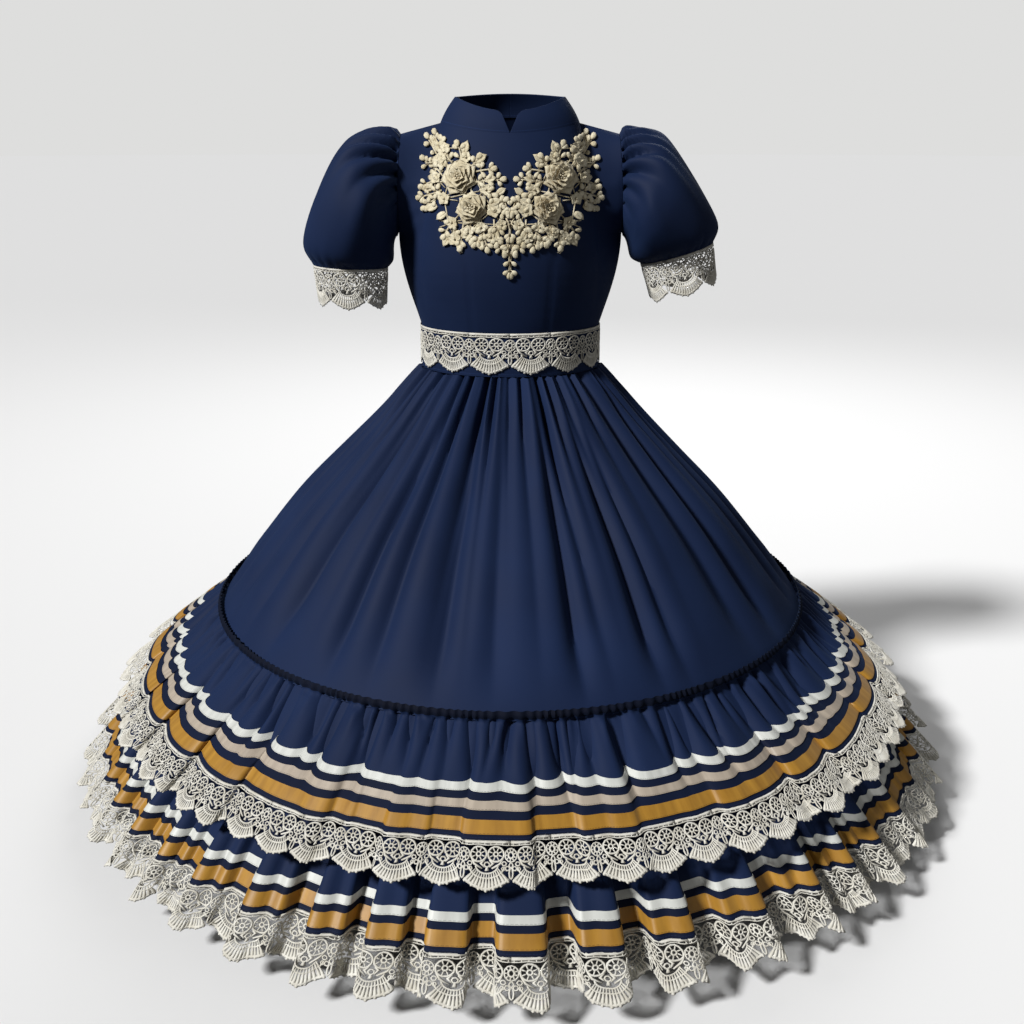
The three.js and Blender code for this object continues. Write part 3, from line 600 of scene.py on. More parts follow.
def flounce_point(flounce, turn, length):
    """The flounce's surface at a turn round the body and a length down from its top edge."""
    radius, height = profile(flounce["lengths"], flounce["rows"], length)
    share = length / flounce["drop"]
    phase = flounce["waves"] * turn + flounce["phase"] + uneven(turn, PHASE_WAVES)
    size = flounce["wave"] * (1 + uneven(turn, SIZE_WAVES)) * smooth_step(flounce["flare_from"], 0.8, share)
    size = size * radius / FULL_SIZE_RADIUS * (1 - 0.25 * np.sin(turn) ** 2)
    lean = -np.tanh(flounce["lean"] * np.sin(turn))  # folds lie over towards the back on both sides
    upright = 1 - np.abs(lean)
    box = np.tanh(BOX * np.cos(phase)) / math.tanh(BOX)
    knife = np.arctan2(KNIFE * np.sin(phase), 1 - KNIFE * np.cos(phase)) / math.asin(KNIFE)
    panel = np.abs(np.sin(phase / 2)) - 0.62  # a rounded panel between two fold lines
    fold = size * (upright * (0.75 * box - 0.25) + np.abs(lean) * panel + 0.5 * lean * knife - 0.1)
    slide = upright * (0.45 * np.sin(2 * phase) + 0.5 * np.sin(phase))
    slide = (slide - (1 - upright) * flounce["overlap"] * knife) * smooth_step(0.25, 0.9, share)
    gathers = ridges(turn, share, spread=0.8, **flounce["gathers"])
    creases = ridges(turn, share, spread=0.9, power=1.2, **flounce["creases"])
    creases = creases * (1 - smooth_step(0.5, 0.95, share))
    below = smooth_step(flounce["seam"], flounce["seam"] + 0.07, share)
    pleats = PLEAT_DEPTH * np.sin(PLEATS * turn + 2.5 * np.sin(19 * turn) + 2 * np.sin(31 * turn))
    out = radius + fold + (gathers - creases) * below + pleats * (1 - below) + 1
    return round_point(out, out, height + 0.12 * fold, turn + slide / flounce["waves"])


def flounce_place(flounce, start, sweep, first, last):
    """place(across, down) for the part of a flounce between two lengths."""
    return lambda across, down: flounce_point(flounce, start + sweep * across, mix(first, last, down))


# %% Flounce cloth and ribbons
RIBBON_RADIUS = 0.66  # in metres, for the satin's own flat map


def add_flounce(name, flounce, rows, columns):
    """The two halves of the cloth, then its ribbons, which run all round."""
    drop = flounce["drop"]
    _, from_hem, width = flounce["ribbons"][0]
    heading = flounce["heading"] / drop  # painted shade: faces above it take a near-black navy, as its tight pleats hold no light
    low_shade_band = (from_hem + width / 2) / drop  # painted shade: the cloth below the top ribbon's middle takes a darker navy
    flounce["cloth"] = {}
    for half, start in HALVES.items():
        place = flounce_place(flounce, start, math.pi, 0, drop)
        bm = bent_grid(
            columns, rows, place, flounce["flat"], top_pull=1.35, top_shade_band=heading, low_shade_band=low_shade_band
        )
        names = f"{name}_flounce_cloth_{half}", [navy_hem, heading_painted_shade, navy_painted_shade], f"{name}_flounce_{half}"
        flounce["cloth"][half] = finish_piece(bm, *names, 0.8)
    for colour, from_hem, width in flounce["ribbons"]:
        place = flounce_place(flounce, 0, 2 * math.pi, drop - from_hem - width, drop - from_hem)
        flat = (2 * math.pi * RIBBON_RADIUS, width * MM)
        bm = bent_grid(2 * columns, 2, lifted(place, 1.0), flat, is_tube=True)
        node = f"{name}_ribbon_{colour}"
        ribbon = finish_piece(bm, f"{node}_satin", [ribbons[colour]], node, 0.4, f"{colour}_ribbon")
        flat = (flounce["ribbon_length"], width * MM)


add_flounce("upper", UPPER, rows=30, columns=640)
add_flounce("lower", LOWER, rows=18, columns=560)

# %% [markdown]
# ## Guipure lace
# Guipure is embroidered on a ground that is washed away, so it is thick thread and nothing else. One repeat
# is drawn flat, 60 mm wide and 65 mm deep, from rounded threads: a header tape, two spoked wheels like the
# lobes of a heart, a round daisy between repeats, and a fan of fat ribs that end in a scallop of picots.
# The repeat is copied along the strip, and then every point is bent onto the surface it hangs from. A flat
# strip with a see-through pattern would be lighter, but real threads have edges that catch light, and their
# gaps let the floor and the cloth behind show from any side.

# %% Draw with thread
LACE_WIDTH = 65
PITCH = 60  # of one repeat, before it is bent
FATNESS = 1.25  # washed thread swells


def thread(bm, path, widths, height=0.7, is_ring=False):
    """A rounded thread along a flat path: four sides, pinched at its ends unless it is a ring."""
    path = np.asarray(path, float)
    count = len(path)
    before, after = (np.roll(path, shift, axis=0) for shift in (1, -1))
    if not is_ring:
        before[0], after[-1] = path[0], path[-1]
    along = after - before
    along /= np.linalg.norm(along, axis=1, keepdims=True)
    side = np.stack([-along[:, 1], along[:, 0]], axis=1)
    widths = np.broadcast_to(widths, count) * FATNESS / 2
    segments = count - (0 if is_ring else 1)
    grid = bmesh.ops.create_grid(bm, x_segments=segments, y_segments=4, size=0.5)["verts"]
    steps = len({round(vert.co.x, 5) for vert in grid}) - 1
    for vert in grid:
        index = round((vert.co.x + 0.5) * steps) % count
        angle = 2 * math.pi * (vert.co.y + 0.5)
        centre = path[index] + side[index] * widths[index] * math.cos(angle)
        vert.co = (centre[0], centre[1], height * math.sin(angle))
    bmesh.ops.remove_doubles(bm, verts=grid, dist=0.0001)
    if not is_ring:
        edges = {edge for vert in grid if vert.is_valid for edge in vert.link_edges}
        bmesh.ops.holes_fill(bm, edges=[edge for edge in edges if edge.is_boundary], sides=4)


def arc(centre, radii, first, last, steps):
    """Points on part of an ellipse, with its angles in degrees."""
    angles = np.radians(np.linspace(first, last, steps + 1))
    return [(centre[0] + radii[0] * math.cos(a), centre[1] + radii[1] * math.sin(a)) for a in angles]


def ring(bm, centre, radii, steps, width, height=0.7):
    """A closed ring of thread."""
    thread(bm, arc(centre, radii, 0, 360, steps)[:-1], width, height, is_ring=True)


def spokes(bm, centre, inner, outer, angles, width):
    """Bars between two ellipses round one centre."""
    for angle in angles:
        ends = [arc(centre, radii, angle, angle, 1)[0] for radii in (inner, outer)]
        thread(bm, ends, width, 0.6)


# %% One repeat of the lace
FAN = (0, -31.5)  # the point that the fan spreads from
HALF = PITCH / 2


def scallop(x, depth):
    """The rounded lower edge, 14.5 mm deeper in the middle of the repeat."""
    return -depth - 14.5 * (1 - abs(x / HALF) ** 1.5)


def draw_repeat(bm):
    thread(bm, [(x, -1.8) for x in np.linspace(-HALF, HALF, 7)], 3.6, 0.6)  # header tape
    thread(bm, [(x, -5.4 - 0.5 * math.cos(x / 4)) for x in np.linspace(-HALF, HALF, 13)], 1.3)
    for x in np.linspace(-HALF + 3, HALF - 3, 8):
        thread(bm, [(x, -3), (x, -5.5)], 1.3, 0.5)
    for side in (-1, 1):
        hub = (side * 11, -17.5)
        ring(bm, hub, (10.2, 9.8), 14, 2.3, 0.9)  # a lobe of the heart
        ring(bm, hub, (3.0, 3.0), 7, 2.2, 0.8)
        spokes(bm, hub, (4, 4), (9.2, 9.2), range(20, 380, 45), 1.4)
        thread(bm, [(side * 20, -23), (side * 16, -30), (side * 6, -36)], (1.6, 2.6, 1.8))
        ring(bm, (side * 21.5, -29.5), (2.9, 2.7), 6, 1.7)
        ring(bm, (side * 25.6, -35.5), (2.7, 2.9), 6, 1.7)
        ring(bm, (side * 20.5, -36), (2.3, 2.2), 6, 1.5)
        thread(bm, [(side * 3, -25), (side * 7.5, -29.5), (side * 3, -34)], (1.8, 3.4, 1.8))
    ring(bm, (0, -31), (3.4, 3.2), 7, 1.9, 0.8)
    thread(bm, [(0, -34), (0, -39)], (2.2, 4.4), 0.9)
    thread(bm, arc(FAN, (14, 11), 186, 354, 10), 2.0)
    thread(bm, arc(FAN, (22, 17), 186, 354, 12), 2.0)
    for step in range(13):  # the fan's ribs, fat at their rounded tips
        angle = 197 + 146 * step / 12
        start = np.array(arc(FAN, (13, 10), angle, angle, 1)[0])
        tip_x = (HALF - 2.6) * (step - 6) / 6
        tip = np.array((tip_x, scallop(tip_x, 50.5) - (0.8 if step % 2 == 0 else -0.6)))
        thread(bm, [mix(start, tip, t) for t in (0, 0.45, 0.75, 0.93, 1)], (1.0, 2.2, 3.9, 3.8, 1.6), 0.9)
    edge = np.linspace(-HALF + 2.6, HALF - 2.6, 15)
    thread(bm, [(x, scallop(x, 47.5)) for x in edge], 4.0, 0.8)
    daisy = (HALF, -18.5)  # this one bridges the gap to the next repeat
    ring(bm, daisy, (7.6, 8.8), 12, 1.6, 0.7)
    ring(bm, daisy, (3.4, 4.2), 8, 2.4, 0.8)
    spokes(bm, daisy, (4.2, 5), (7, 8.2), range(0, 360, 40), 1.5)
    ring(bm, (HALF, -31.5), (2.4, 3.2), 6, 1.7)
    ring(bm, (HALF, -42), (2.3, 7), 8, 1.9)


# %% Repeat the lace and bend it
def lace_strip(name, count, surface, node):
    """A strip of whole repeats. surface(across, down) takes across in repeats and down as a share."""
    bm = bmesh.new()
    draw_repeat(bm)
    motif = bm.verts[:] + bm.edges[:] + bm.faces[:]
    for index in range(1, count):
        copy = bmesh.ops.duplicate(bm, geom=motif)["geom"]
        moved = [item for item in copy if isinstance(item, bmesh.types.BMVert)]
        bmesh.ops.translate(bm, verts=moved, vec=(PITCH * index, 0, 0))
    flat = np.array([vert.co for vert in bm.verts])
    points = lifted(surface, flat[:, 2])(flat[:, 0] / PITCH + 0.5, -flat[:, 1] / LACE_WIDTH) * MM
    for vert, point in zip(bm.verts, points):
        vert.co = point
    bmesh.ops.recalc_face_normals(bm, faces=bm.faces)
    return finish_piece(bm, name, [cream], node, slot="cream_lace")


def flounce_lace(name, flounce):
    """Lace below a flounce. Its repeats are evenly spaced along the folded edge of each half."""
    turns = np.linspace(0, 2 * math.pi, 7201)
    edge = flounce_point(flounce, turns, np.full_like(turns, flounce["drop"] + 20))
    travelled = np.concatenate([[0], np.cumsum(np.linalg.norm(np.diff(edge, axis=0), axis=1))])
    count = flounce["repeats"] // 2
    for half, start in HALVES.items():
        here = np.interp(start, turns, travelled)
        end = np.interp((start + math.pi) % (2 * math.pi), turns, travelled)
        pitch = (end - here) % travelled[-1] / count
        print(name, half, "hem pitch", round(pitch, 1), "mm")

        def surface(across, down, here=here, pitch=pitch):
            whole, rest = np.divmod(here + across * pitch, travelled[-1])
            turn = np.interp(rest, travelled, turns) + 2 * math.pi * whole
            return flounce_point(flounce, turn, flounce["drop"] - 0.5 + down * LACE_WIDTH)

        lace = lace_strip(f"{name}_lace_threads_{half}", count, surface, f"{name}_lace_{half}")


flounce_lace("upper", UPPER)
flounce_lace("lower", LOWER)

# %% [markdown]
# ## The bodice
# A fitted bodice is cut in panels and taken in with seams. Here each panel is blended between its four real
# edges: the waist, the side seam with the armhole, and the shoulder with the neck. A grid could be shrunk
# onto a body instead, but then its seams would not meet. The cloth sits smoothly over the bust, and two
# long shaping seams run from the armhole to the waist.

# %% The bodice's edges
WAIST = {"half_width": 147, "half_depth": 112, "top": 70}
BODICE_FOOT = WAIST["top"] + 0.3
UNDERARM = (180, 215)  # x and z, as for the shoulder and the side of the neck
SHOULDER = (172, 367)
NECK_SIDE = (110, 383)
ARMHOLE_DEPTH = 38
UNDERARM_SHARE = 0.45
NECKS = {"front": (78, 368), "back": (70, 392)}  # depth and height in the middle
FULLNESS = {"front": 20, "back": 8}
FACING = {"front": -1, "back": 1}
MIRRORED = np.array([-1, 1, 1])


def neck_point(angle, half):
    """The neck seam at an angle from the middle of its half."""
    depth, middle = NECKS[half]
    height = mix(middle, NECK_SIDE[1], np.sin(angle) ** 2)
    return round_point(NECK_SIDE[0], FACING[half] * depth, height, angle)


def side_edge(up, half):
    """The side seam, then the armhole, on the wearer's left."""
    low = np.clip(up / UNDERARM_SHARE, 0, 1)
    swell = np.sin(low * math.pi / 2)
    seam = points_at(mix(WAIST["half_width"], UNDERARM[0], swell), 0, mix(BODICE_FOOT, UNDERARM[1], low))
    turn = math.pi * np.clip((up - UNDERARM_SHARE) / (1 - UNDERARM_SHARE), 0, 1)
    high = (1 - np.cos(turn)) / 2
    y = FACING[half] * ARMHOLE_DEPTH * np.sin(turn)
    armhole = points_at(mix(UNDERARM[0], SHOULDER[0], high), y, mix(UNDERARM[1], SHOULDER[1], high))
    return np.where((up <= UNDERARM_SHARE)[:, None], seam, armhole)


def top_edge(across, half):
    """Two parts of shoulder seam, ten of the neck, and two of shoulder again."""
    parts = 14 * across - 7
    side, steps = np.sign(parts), np.abs(parts)
    neck = neck_point(side * math.pi * np.minimum(steps, 5) / 10, half)
    share = np.clip((steps - 5) / 2, 0, 1)
    x, z = mix(NECK_SIDE[0], SHOULDER[0], share), mix(NECK_SIDE[1], SHOULDER[1], share)
    return np.where((steps <= 5)[:, None], neck, points_at(side * x, 0, z))


# %% The bodice's surface
DRAG_LINES = [  # height, lean, size, half width, reach, where it starts from the side
    *((height, lean, 1.6, 0.022, 0.13, 0.03) for height, lean in ((0.5, 0.3), (0.6, 0.12), (0.72, -0.1))),
    *((0.04 + 0.055 * step, 0.1, 1.1, 0.013, 0.3, 0.04) for step in range(5)),
]


def bodice_relief(across, up):
    """The shaping seams, and drag lines that run in from the armholes and the waist."""
    relief = np.zeros_like(across)
    for side in (-1, 1):
        seam = 0.5 + side * (0.13 + 0.1 * smooth_step(0.25, 1, up) + 0.15 * smooth_step(0.45, 0.8, up))
        reach = 1 - smooth_step(0.62, 0.78, up)
        relief -= 1.1 * bell((across - seam) / 0.008) * reach
        away = np.abs(across - (0.5 + side * 0.5))
        for height, lean, size, width, reach, start in DRAG_LINES:
            ridge = size * bell((up - height - lean * away) / width)
            relief += ridge * bell(away / reach) * smooth_step(0, start, away)
    return relief


def bodice_place(half, first=0.0, last=1.0):
    """place(across, down) of a panel, or of the part of it between two shares of its width."""
    facing = FACING[half]

    def place(share_across, down):
        across = np.clip(mix(first, last, share_across), 0, 1)
        up = np.clip(1 - down, 0, 1)
        turn = math.pi * (across - 0.5)
        hem = round_point(WAIST["half_width"], facing * WAIST["half_depth"], BODICE_FOOT, turn)
        left = side_edge(up, half)
        low_corner = np.array([WAIST["half_width"], 0, BODICE_FOOT])
        top_corner = np.array([SHOULDER[0], 0, SHOULDER[1]])
        near_edge = (2 * across - 1) ** 4
        rises = points_at(up, up**2.6, up)
        fades = points_at(1, near_edge, near_edge)
        share = across[:, None]
        sides = mix(left * MIRRORED, left, share)
        low = mix(low_corner * MIRRORED, low_corner, share)
        high = mix(top_corner * MIRRORED, top_corner, share)
        points = mix(hem, top_edge(across, half), rises) + fades * (sides - mix(low, high, rises))
        fuller = FULLNESS[half] * np.sin(math.pi * up**0.9) * np.maximum(np.cos(turn), 0) ** 0.7
        points[:, 1] += facing * (fuller + bodice_relief(across, up))
        return points

    return place


# %% Bodice panels
FRONT_FLAT, BACK_FLAT = (0.52, 0.36), (0.26, 0.36)
BODICE_PANELS = [  # name, half, first share, last share, columns, flat cut
    ("front", "front", 0.0, 1.0, 84, FRONT_FLAT),
    ("back_right", "back", 0.0, 0.5, 42, BACK_FLAT),
    ("back_left", "back", 0.5, 1.0, 42, BACK_FLAT),
]
for name, half, first, last, columns, flat in BODICE_PANELS:
    bm = bent_grid(columns, 52, bodice_place(half, first, last), flat)
    if half == "front":
        bodice_tree = BVHTree.FromBMesh(bm)
    panel = finish_piece(bm, f"bodice_cloth_{name}", [navy], f"bodice_{name}", 1.2)

# %% [markdown]
# ## The stand collar
# Two stiffened halves meet at the centre back and open in a narrow notch at the throat. The corners of the
# notch are rounded, because a point would not turn out cleanly. Each half could be extruded up from the neck
# seam. Here it is a grid between that seam and its own top edge, so that both stay exact, and a small bevel
# rounds its pressed rim.

# %% Collar
COLLAR_TOP = {"half_width": 86, "front_depth": 64, "back_depth": 58, "front": 400, "side": 422, "back": 428}
NOTCH_ANGLE = math.radians(9.5)
NOTCH_CORNER = 0.035  # the part of the collar that its rounded corner takes up


def collar_place(side):
    def place(across, down):
        angle = math.pi * across
        in_front = (angle <= math.pi / 2)[:, None]
        base = np.where(in_front, neck_point(angle, "front"), neck_point(math.pi - angle, "back"))
        turn = mix(NOTCH_ANGLE, math.pi, across)
        top_front = turn <= math.pi / 2
        depth = np.where(top_front, -COLLAR_TOP["front_depth"], -COLLAR_TOP["back_depth"])
        middle = np.where(top_front, COLLAR_TOP["front"], COLLAR_TOP["back"])
        height = mix(middle, COLLAR_TOP["side"], np.sin(turn) ** 2)
        top = round_point(COLLAR_TOP["half_width"], depth, height, turn)
        corner = np.clip(1 - across / NOTCH_CORNER, 0, 1)
        up = (1 - down) * (1 - 0.2 * (1 - np.sqrt(1 - corner**2)))
        points = mix(base, top, up[:, None])
        points[:, 2] += 0.3 - 1.1 * down**16  # the foot is tucked into the neck seam against the light
        swell = 2.0 * np.sin(math.pi * up)  # a stiffened band stands a little round
        reach = np.hypot(points[:, 0], points[:, 1])
        points[:, :2] *= (1 + swell / reach)[:, None]
        points[:, 0] = np.maximum(points[:, 0], 0) * side
        return points

    return place


for name, side in (("right", -1), ("left", 1)):
    bm = bent_grid(90, 16, collar_place(side), flat=(0.24, 0.045))
    collar = finish_piece(bm, f"collar_band_{name}", [navy_hem], f"collar_{name}", 2.0)
    rim = collar.modifiers.new("soft edge", "BEVEL")
    rim.width = 0.0006
    rim.segments = 2
    rim.limit_method = "ANGLE"

# %% [markdown]
# ## Puff sleeves
# A puff sleeve is a wide piece gathered at the armhole and again at the cuff. The crown stands up on its
# own gathers, and the cloth between hangs in long soft creases. It could be blown up by a simulation with
# pressure. A tube through seven measured rings is steadier, and each deep crease gets its own line in a
# table, because creases are what tells one sleeve from another.

# %% Sleeve measures
SLEEVE_RINGS = [  # outer x and z, inner x and z, half depth
    (172.6, 367, 180.6, 215, 38), (194, 377, 185, 211, 62), (228, 374, 189, 202, 80),
    (266, 350, 191, 191, 90), (303, 285, 192, 180, 90), (332, 203, 194, 169, 76), (321, 165, 200, 160, 58),
]
CUFF_RINGS = [(321, 164.7, 200, 159.7, 58), (314, 100, 204, 95, 56)]
SLEEVES = {"right": (-1, 0.0), "left": (1, math.radians(14))}  # side, and how far the arm lifts it
SLEEVE_CREASES = [  # degrees from the crown towards the front, depth, half width in degrees, reach, lean
    (14, 10, 3.0, 0.32, 14), (31, 16, 3.6, 0.48, 24), (47, 23, 4.4, 0.56, 28), (62, 27, 4.8, 0.52, 18),
    (78, 26, 4.6, 0.44, 4), (94, 20, 4.2, 0.36, -8), (112, 13, 3.8, 0.28, -14), (-18, 11, 3.2, 0.36, -12),
    (-40, 15, 3.8, 0.42, -16), (-66, 16, 4.2, 0.38, -8), (-92, 11, 3.8, 0.30, 4),
]


def lift_points(points, share, side, lift):
    """Turns points about the underarm, by a share of the lift, and puts them on their own side."""
    x, z = points[:, 0] - UNDERARM[0], points[:, 2] - UNDERARM[1]
    cos, sin = np.cos(lift * share), np.sin(lift * share)
    return points_at(side * (UNDERARM[0] + x * cos - z * sin), points[:, 1], UNDERARM[1] + z * cos + x * sin)


def ring_points(rings, at, turn, out):
    """Points on a tube of ellipses, each lying between its outer and its inner point."""
    outer_x, outer_z, inner_x, inner_z, depth = profile(np.arange(len(rings)), rings, at)
    centre_x, centre_z = (outer_x + inner_x) / 2, (outer_z + inner_z) / 2
    half_x, half_z = outer_x - centre_x, outer_z - centre_z
    reach = np.cos(turn) * (1 + out / np.hypot(half_x, half_z))
    return points_at(centre_x + half_x * reach, (depth + out) * np.sin(turn), centre_z + half_z * reach)


def sleeve_creases(turn, down):
    """The deep creases that fan out from the armhole, mostly in front."""
    relief = np.zeros_like(turn)
    for middle, depth, width, reach, lean in SLEEVE_CREASES:
        line = -math.radians(middle) + math.radians(lean) * down / reach
        breadth = math.radians(width) * (0.7 + 1.6 * down / reach)
        crease = depth * bell(turn_from(line, turn) / breadth, 1.4)
        relief += crease * (1 - smooth_step(0.25 * reach, 1.5 * reach, down))
    return relief


def sleeve_place(side, lift, seed):
    def place(across, down):
        turn = 2 * math.pi * across
        crown = 0.35 + 0.65 * (0.5 + 0.5 * np.cos(turn))  # the underarm is hardly gathered
        from_top = ridges(turn, down, seed, 24, 6, 0.07, 0.2, spread=1.6) * crown
        from_cuff = ridges(turn, 1 - down, seed + 1, 26, 5, 0.06, 0.12, spread=1.6, power=1.4)
        soft = ridges(turn, 0 * down, seed + 2, 8, 6, 0.25, 1) * np.sin(math.pi * down) ** 2
        out = (from_top + 2 - sleeve_creases(turn, down)) * smooth_step(0, 0.05, down) + soft - 2
        out += (2 - from_cuff) * smooth_step(0, 0.04, 1 - down)
        points = ring_points(SLEEVE_RINGS, down * (len(SLEEVE_RINGS) - 1), turn, out)
        return lift_points(points, down, side, lift)

    return place


for name, (side, lift) in SLEEVES.items():
    middle = Vector((side * 0.255, 0, 0.27))
    place = sleeve_place(side, lift, seed=40 + 10 * side)
    bm = bent_grid(132, 44, place, (0.62, 0.30), is_tube=True, middle=middle)
    sleeve = finish_piece(bm, f"sleeve_cloth_{name}", [navy], f"sleeve_{name}", 1.0)
    laces = []
    for half, first in (("front", math.pi), ("back", 0)):

        def cuff_surface(across, down, first=first, side=side, lift=lift):
            turn = first + math.pi * across / 3
            sway = 1.5 * np.sin(5 * turn + 1) * down
            return lift_points(ring_points(CUFF_RINGS, down, turn, sway), np.ones_like(down), side, lift)

        node = f"sleeve_lace_{name}_{half}"
        laces.append(lace_strip(f"{node}_threads", 3, cuff_surface, node))

# %% [markdown]
# ## The waistband and its lace
# A straight band joins bodice and skirt, and a strip of the same lace lies on it, header up. The band is
# one more bent grid. Its lace needs no drawing of its own: fourteen whole repeats go round the waist, so the
# pattern meets itself at the closing.

# %% Waistband
BACK_GAP = 0.004  # half of the closing, as a turn
BAND_PIECES = [  # name, first turn, sweep, columns, length, lace repeats, first repeat
    ("front", math.pi / 2, math.pi, 96, 0.41, 8, 3),
    ("back_right", 3 * math.pi / 2, math.pi / 2 - BACK_GAP, 48, 0.205, 3, 11),
    ("back_left", BACK_GAP, math.pi / 2 - BACK_GAP, 48, 0.205, 3, 0),
]
REPEATS_ROUND_WAIST = 14


def band_point(turn, height, out):
    return round_point(WAIST["half_width"] + out, WAIST["half_depth"] + out, height, turn)


for name, first, sweep, columns, length, count, first_repeat in BAND_PIECES:

    def band_place(across, down, first=first, sweep=sweep):
        swell = 0.8 * np.sin(math.pi * down) - 0.5
        return band_point(first + sweep * across, WAIST["top"] * (1 - down), swell)

    def waist_surface(across, down, start=first_repeat):
        turn = 2 * math.pi * (start + across) / REPEATS_ROUND_WAIST
        return band_point(turn, WAIST["top"] - 1 - LACE_WIDTH * down, 1.6)

    flat = (length, 0.07)
    bm = bent_grid(columns, 12, band_place, flat)
    band = finish_piece(bm, f"waistband_cloth_{name}", [navy_hem], f"waistband_{name}", 1.2)
    laces = [lace_strip(f"waist_lace_threads_{name}", count, waist_surface, f"waist_lace_{name}")]

# %% [markdown]
# ## The applique
# Two mirrored sprays of thick floral guipure meet in a V on the chest. Each has two full roses with cupped
# petals, small blossoms, and sprigs of round buds on corded stems. A relief pattern in a material could not
# throw the shadows that make it look embroidered, so each petal is a small solid. A spray is laid out flat,
# as it would be on a cutting table, and then dropped onto the bodice from the front.


# %% Petals, buds and sprigs
def ray(centre, angle, length):
    """The point at a distance from a centre."""
    return centre[0] + length * math.cos(angle), centre[1] + length * math.sin(angle)


def bead(bm, centre, radius):
    bmesh.ops.create_icosphere(bm, subdivisions=1, radius=radius, matrix=Matrix.Translation(centre))


def petal(bm, centre, angle, length, width, lift, cup, wall=0.8):
    """A cupped petal from a small grid, made solid. Flat plan, with its height in z."""
    verts = bmesh.ops.create_grid(bm, x_segments=4, y_segments=4, size=0.5)["verts"]
    turn = Matrix.Rotation(angle, 2)
    for vert in verts:
        side, along = vert.co.x * 2, vert.co.y + 0.5
        bulge = math.sin(math.pi * min(0.12 + 0.8 * along, 1)) ** 0.7
        notch = 0.03 * length * math.cos(7 * side) * along
        reach = length * along * (1 - 0.16 * side * side * along) + notch
        flat = turn @ Vector((reach, side * width / 2 * bulge))
        height = lift * along**1.3 + cup * side * side * bulge * along - 0.35 * cup * along**3
        vert.co = (centre[0] + flat.x, centre[1] + flat.y, height + centre[2])
    faces = list({face for vert in verts for face in vert.link_faces})
    bmesh.ops.solidify(bm, geom=faces, thickness=wall)


def bud(bm, centre, angle, length, width, height):
    """A flattened drop of thread."""
    verts = bmesh.ops.create_uvsphere(bm, u_segments=8, v_segments=5, radius=0.5)["verts"]
    place = Matrix.Translation((centre[0], centre[1], height * 0.5)) @ Matrix.Rotation(angle, 4, "Z")
    bmesh.ops.scale(bm, verts=verts, vec=(length, width, height * 1.4))
    for vert in verts:
        vert.co.y *= 1 + 0.6 * vert.co.x / length
    bmesh.ops.transform(bm, verts=verts, matrix=place)


PETAL_RINGS = [  # petals, share of the radius, lift, cup, height of the ring
    (7, 1.0, 1.5, 3.4, 1.4), (6, 0.82, 4.0, 4.4, 2.6), (5, 0.6, 6.5, 4.8, 4.2), (4, 0.38, 7.5, 4.0, 5.4),
]


def rose(bm, x, z, radius, spin):
    """Rings of petals round a cluster of beads."""
    for count, share, lift, cup, base in PETAL_RINGS:
        for index in range(count):
            angle = spin + 2 * math.pi * (index + 0.37 * base) / count
            length = radius * share * (1 + 0.07 * math.sin(5 * angle + base))
            petal(bm, (x, z, base), angle, length, length * 0.98, lift + 0.9 * math.sin(3 * angle), cup)
    for index in range(6):
        reach = 0 if index == 5 else 0.13 * radius
        bead(bm, (*ray((x, z), spin + 2 * math.pi * index / 5, reach), 9.0), 1.6)


def blossom(bm, x, z, radius, spin):
    """A small flat flower with a raised bead."""
    for index in range(5):
        petal(bm, (x, z, 0.9), spin + 2 * math.pi * index / 5, radius, radius * 0.95, 1.8, 1.2)
    bead(bm, (x, z, 2.6), 1.9)


def sprig(bm, base, tip, pairs, draw):
    """A curved cord with pairs of buds and one at its tip."""
    base, tip = np.array(base, float), np.array(tip, float)
    along = tip - base
    length = np.linalg.norm(along)
    square = np.array([-along[1], along[0]]) / length
    bend = draw.uniform(-0.12, 0.12) * length
    heading = math.atan2(along[1], along[0])

    def on_cord(share):
        return base + along * share + square * bend * math.sin(math.pi * share)

    thread(bm, [on_cord(share) for share in np.linspace(0, 1, 5)], 2.4, 1.1)
    for index in range(pairs):
        share = (index + 0.6) / (pairs + 0.3)
        foot = on_cord(share)
        for side in (-1, 1):
            angle = heading + side * draw.uniform(0.75, 1.05)
            centre = np.array(ray(foot, angle, draw.uniform(7.0, 9.0) * (1.05 - 0.25 * share)))
            thread(bm, [foot, (foot + centre) / 2, centre], 1.5, 0.9)
            bud(bm, centre, angle, draw.uniform(9.5, 11.5), draw.uniform(6.6, 8.0), 2.6)
    bud(bm, tip, heading, 12, 9, 3)


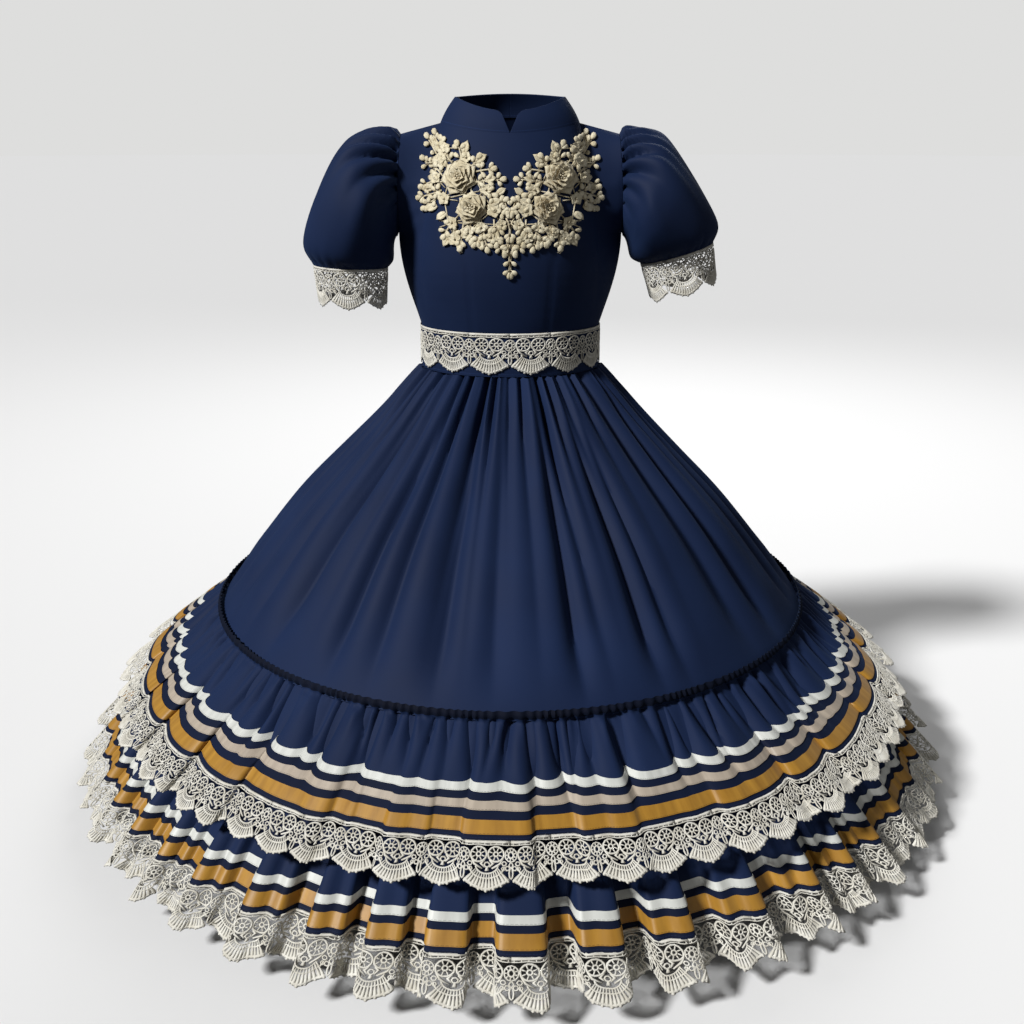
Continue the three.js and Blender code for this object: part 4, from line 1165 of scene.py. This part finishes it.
# %% Where they lie
ROSES = [(76, 303, 27, 0.3), (57, 259, 25, 1.1)]  # x, z, radius, spin
BLOSSOMS = [  # x, z, radius
    (109, 326, 11), (114, 302, 10), (24, 257, 12), (64, 224, 11), (84, 214, 11), (100, 272, 10),
    (36, 286, 9), (88, 238, 10), (13, 236, 9), (66, 332, 9), (44, 232, 9), (98, 346, 8), (30, 218, 8),
]
LEAVES = [  # x, z, heading in degrees, length
    (112, 342, 70, 22), (52, 326, 150, 20), (70, 338, 110, 19), (38, 300, 170, 18), (30, 266, 160, 18),
    (118, 288, -10, 20), (112, 262, -25, 19), (92, 218, -60, 18), (74, 212, -80, 17), (46, 216, -100, 18),
    (24, 228, -110, 18), (8, 206, -100, 15), (96, 320, 40, 18), (98, 252, -40, 17), (20, 280, 150, 16),
]
SPRIGS = [  # base, tip, pairs of buds
    ((94, 318), (130, 362), 3), ((86, 322), (106, 360), 3), ((76, 322), (80, 352), 2),
    ((66, 316), (46, 334), 1), ((56, 296), (10, 301), 3), ((46, 286), (22, 278), 1),
    ((98, 296), (138, 288), 3), ((92, 278), (134, 256), 3), ((40, 262), (6, 272), 2),
    ((44, 244), (34, 199), 3), ((24, 244), (8, 194), 3), ((6, 246), (2, 214), 2),
    ((5, 216), (1, 161), 4), ((10, 278), (2, 250), 2), ((90, 330), (118, 368), 3),
    ((102, 312), (136, 330), 2), ((52, 312), (24, 316), 2), ((20, 262), (3, 252), 1),
    ((70, 238), (76, 200), 2), ((16, 240), (20, 206), 2), ((104, 284), (142, 272), 3),
    ((62, 242), (58, 210), 2), ((80, 246), (101, 216), 2), ((100, 302), (122, 326), 2),
    ((34, 232), (54, 206), 2),
]


# %% The two sprays
SPRAY_LIFT = 1.2  # of the flat spray's middle, out from the panel


def spray(side):
    """One spray, laid flat. Both sides use the same draws, so they are mirror images."""
    draw = random.Random(7)
    bm = bmesh.new()
    for base, tip, pairs in SPRIGS:
        sprig(bm, base, tip, pairs, draw)
    for first, second in zip(BLOSSOMS, BLOSSOMS[1:]):
        between = ((first[0] + second[0]) / 2 + 3, (first[1] + second[1]) / 2)
        thread(bm, [first[:2], between, second[:2]], 1.6, 0.9)
    for x, z, radius in BLOSSOMS:
        for _ in range(3):  # short bars that tie a blossom into the web
            thread(bm, [(x, z), ray((x, z), draw.uniform(0, 2 * math.pi), 2.1 * radius)], 1.5, 0.9)
        blossom(bm, x, z, radius, draw.uniform(0, 6))
    for x, z, heading, length in LEAVES:
        angle = math.radians(heading)
        petal(bm, (x, z, 0.8), angle, length, length * 0.62, 2.0, 1.6, wall=1.0)
        thread(bm, [(x, z), ray((x, z), angle, 0.8 * length)], 1.3, 2.2)
    for x, z, radius, spin in ROSES:
        rose(bm, x, z, radius, spin)
    for vert in bm.verts:
        x, z, height = vert.co
        start = Vector((max(x, 0.1) * MM, -1, z * MM))
        hit, normal, _, _ = bodice_tree.ray_cast(start, Vector((0, 1, 0)))
        point = hit + normal * (SPRAY_LIFT + height) * MM
        vert.co = (side * point.x, point.y, point.z)
    bmesh.ops.recalc_face_normals(bm, faces=bm.faces)
    return bm


sprays = [
    finish_piece(spray(side), f"applique_guipure_{name}", [ivory], f"applique_{name}", slot="cream_lace")
    for name, side in (("right", -1), ("left", 1))
]
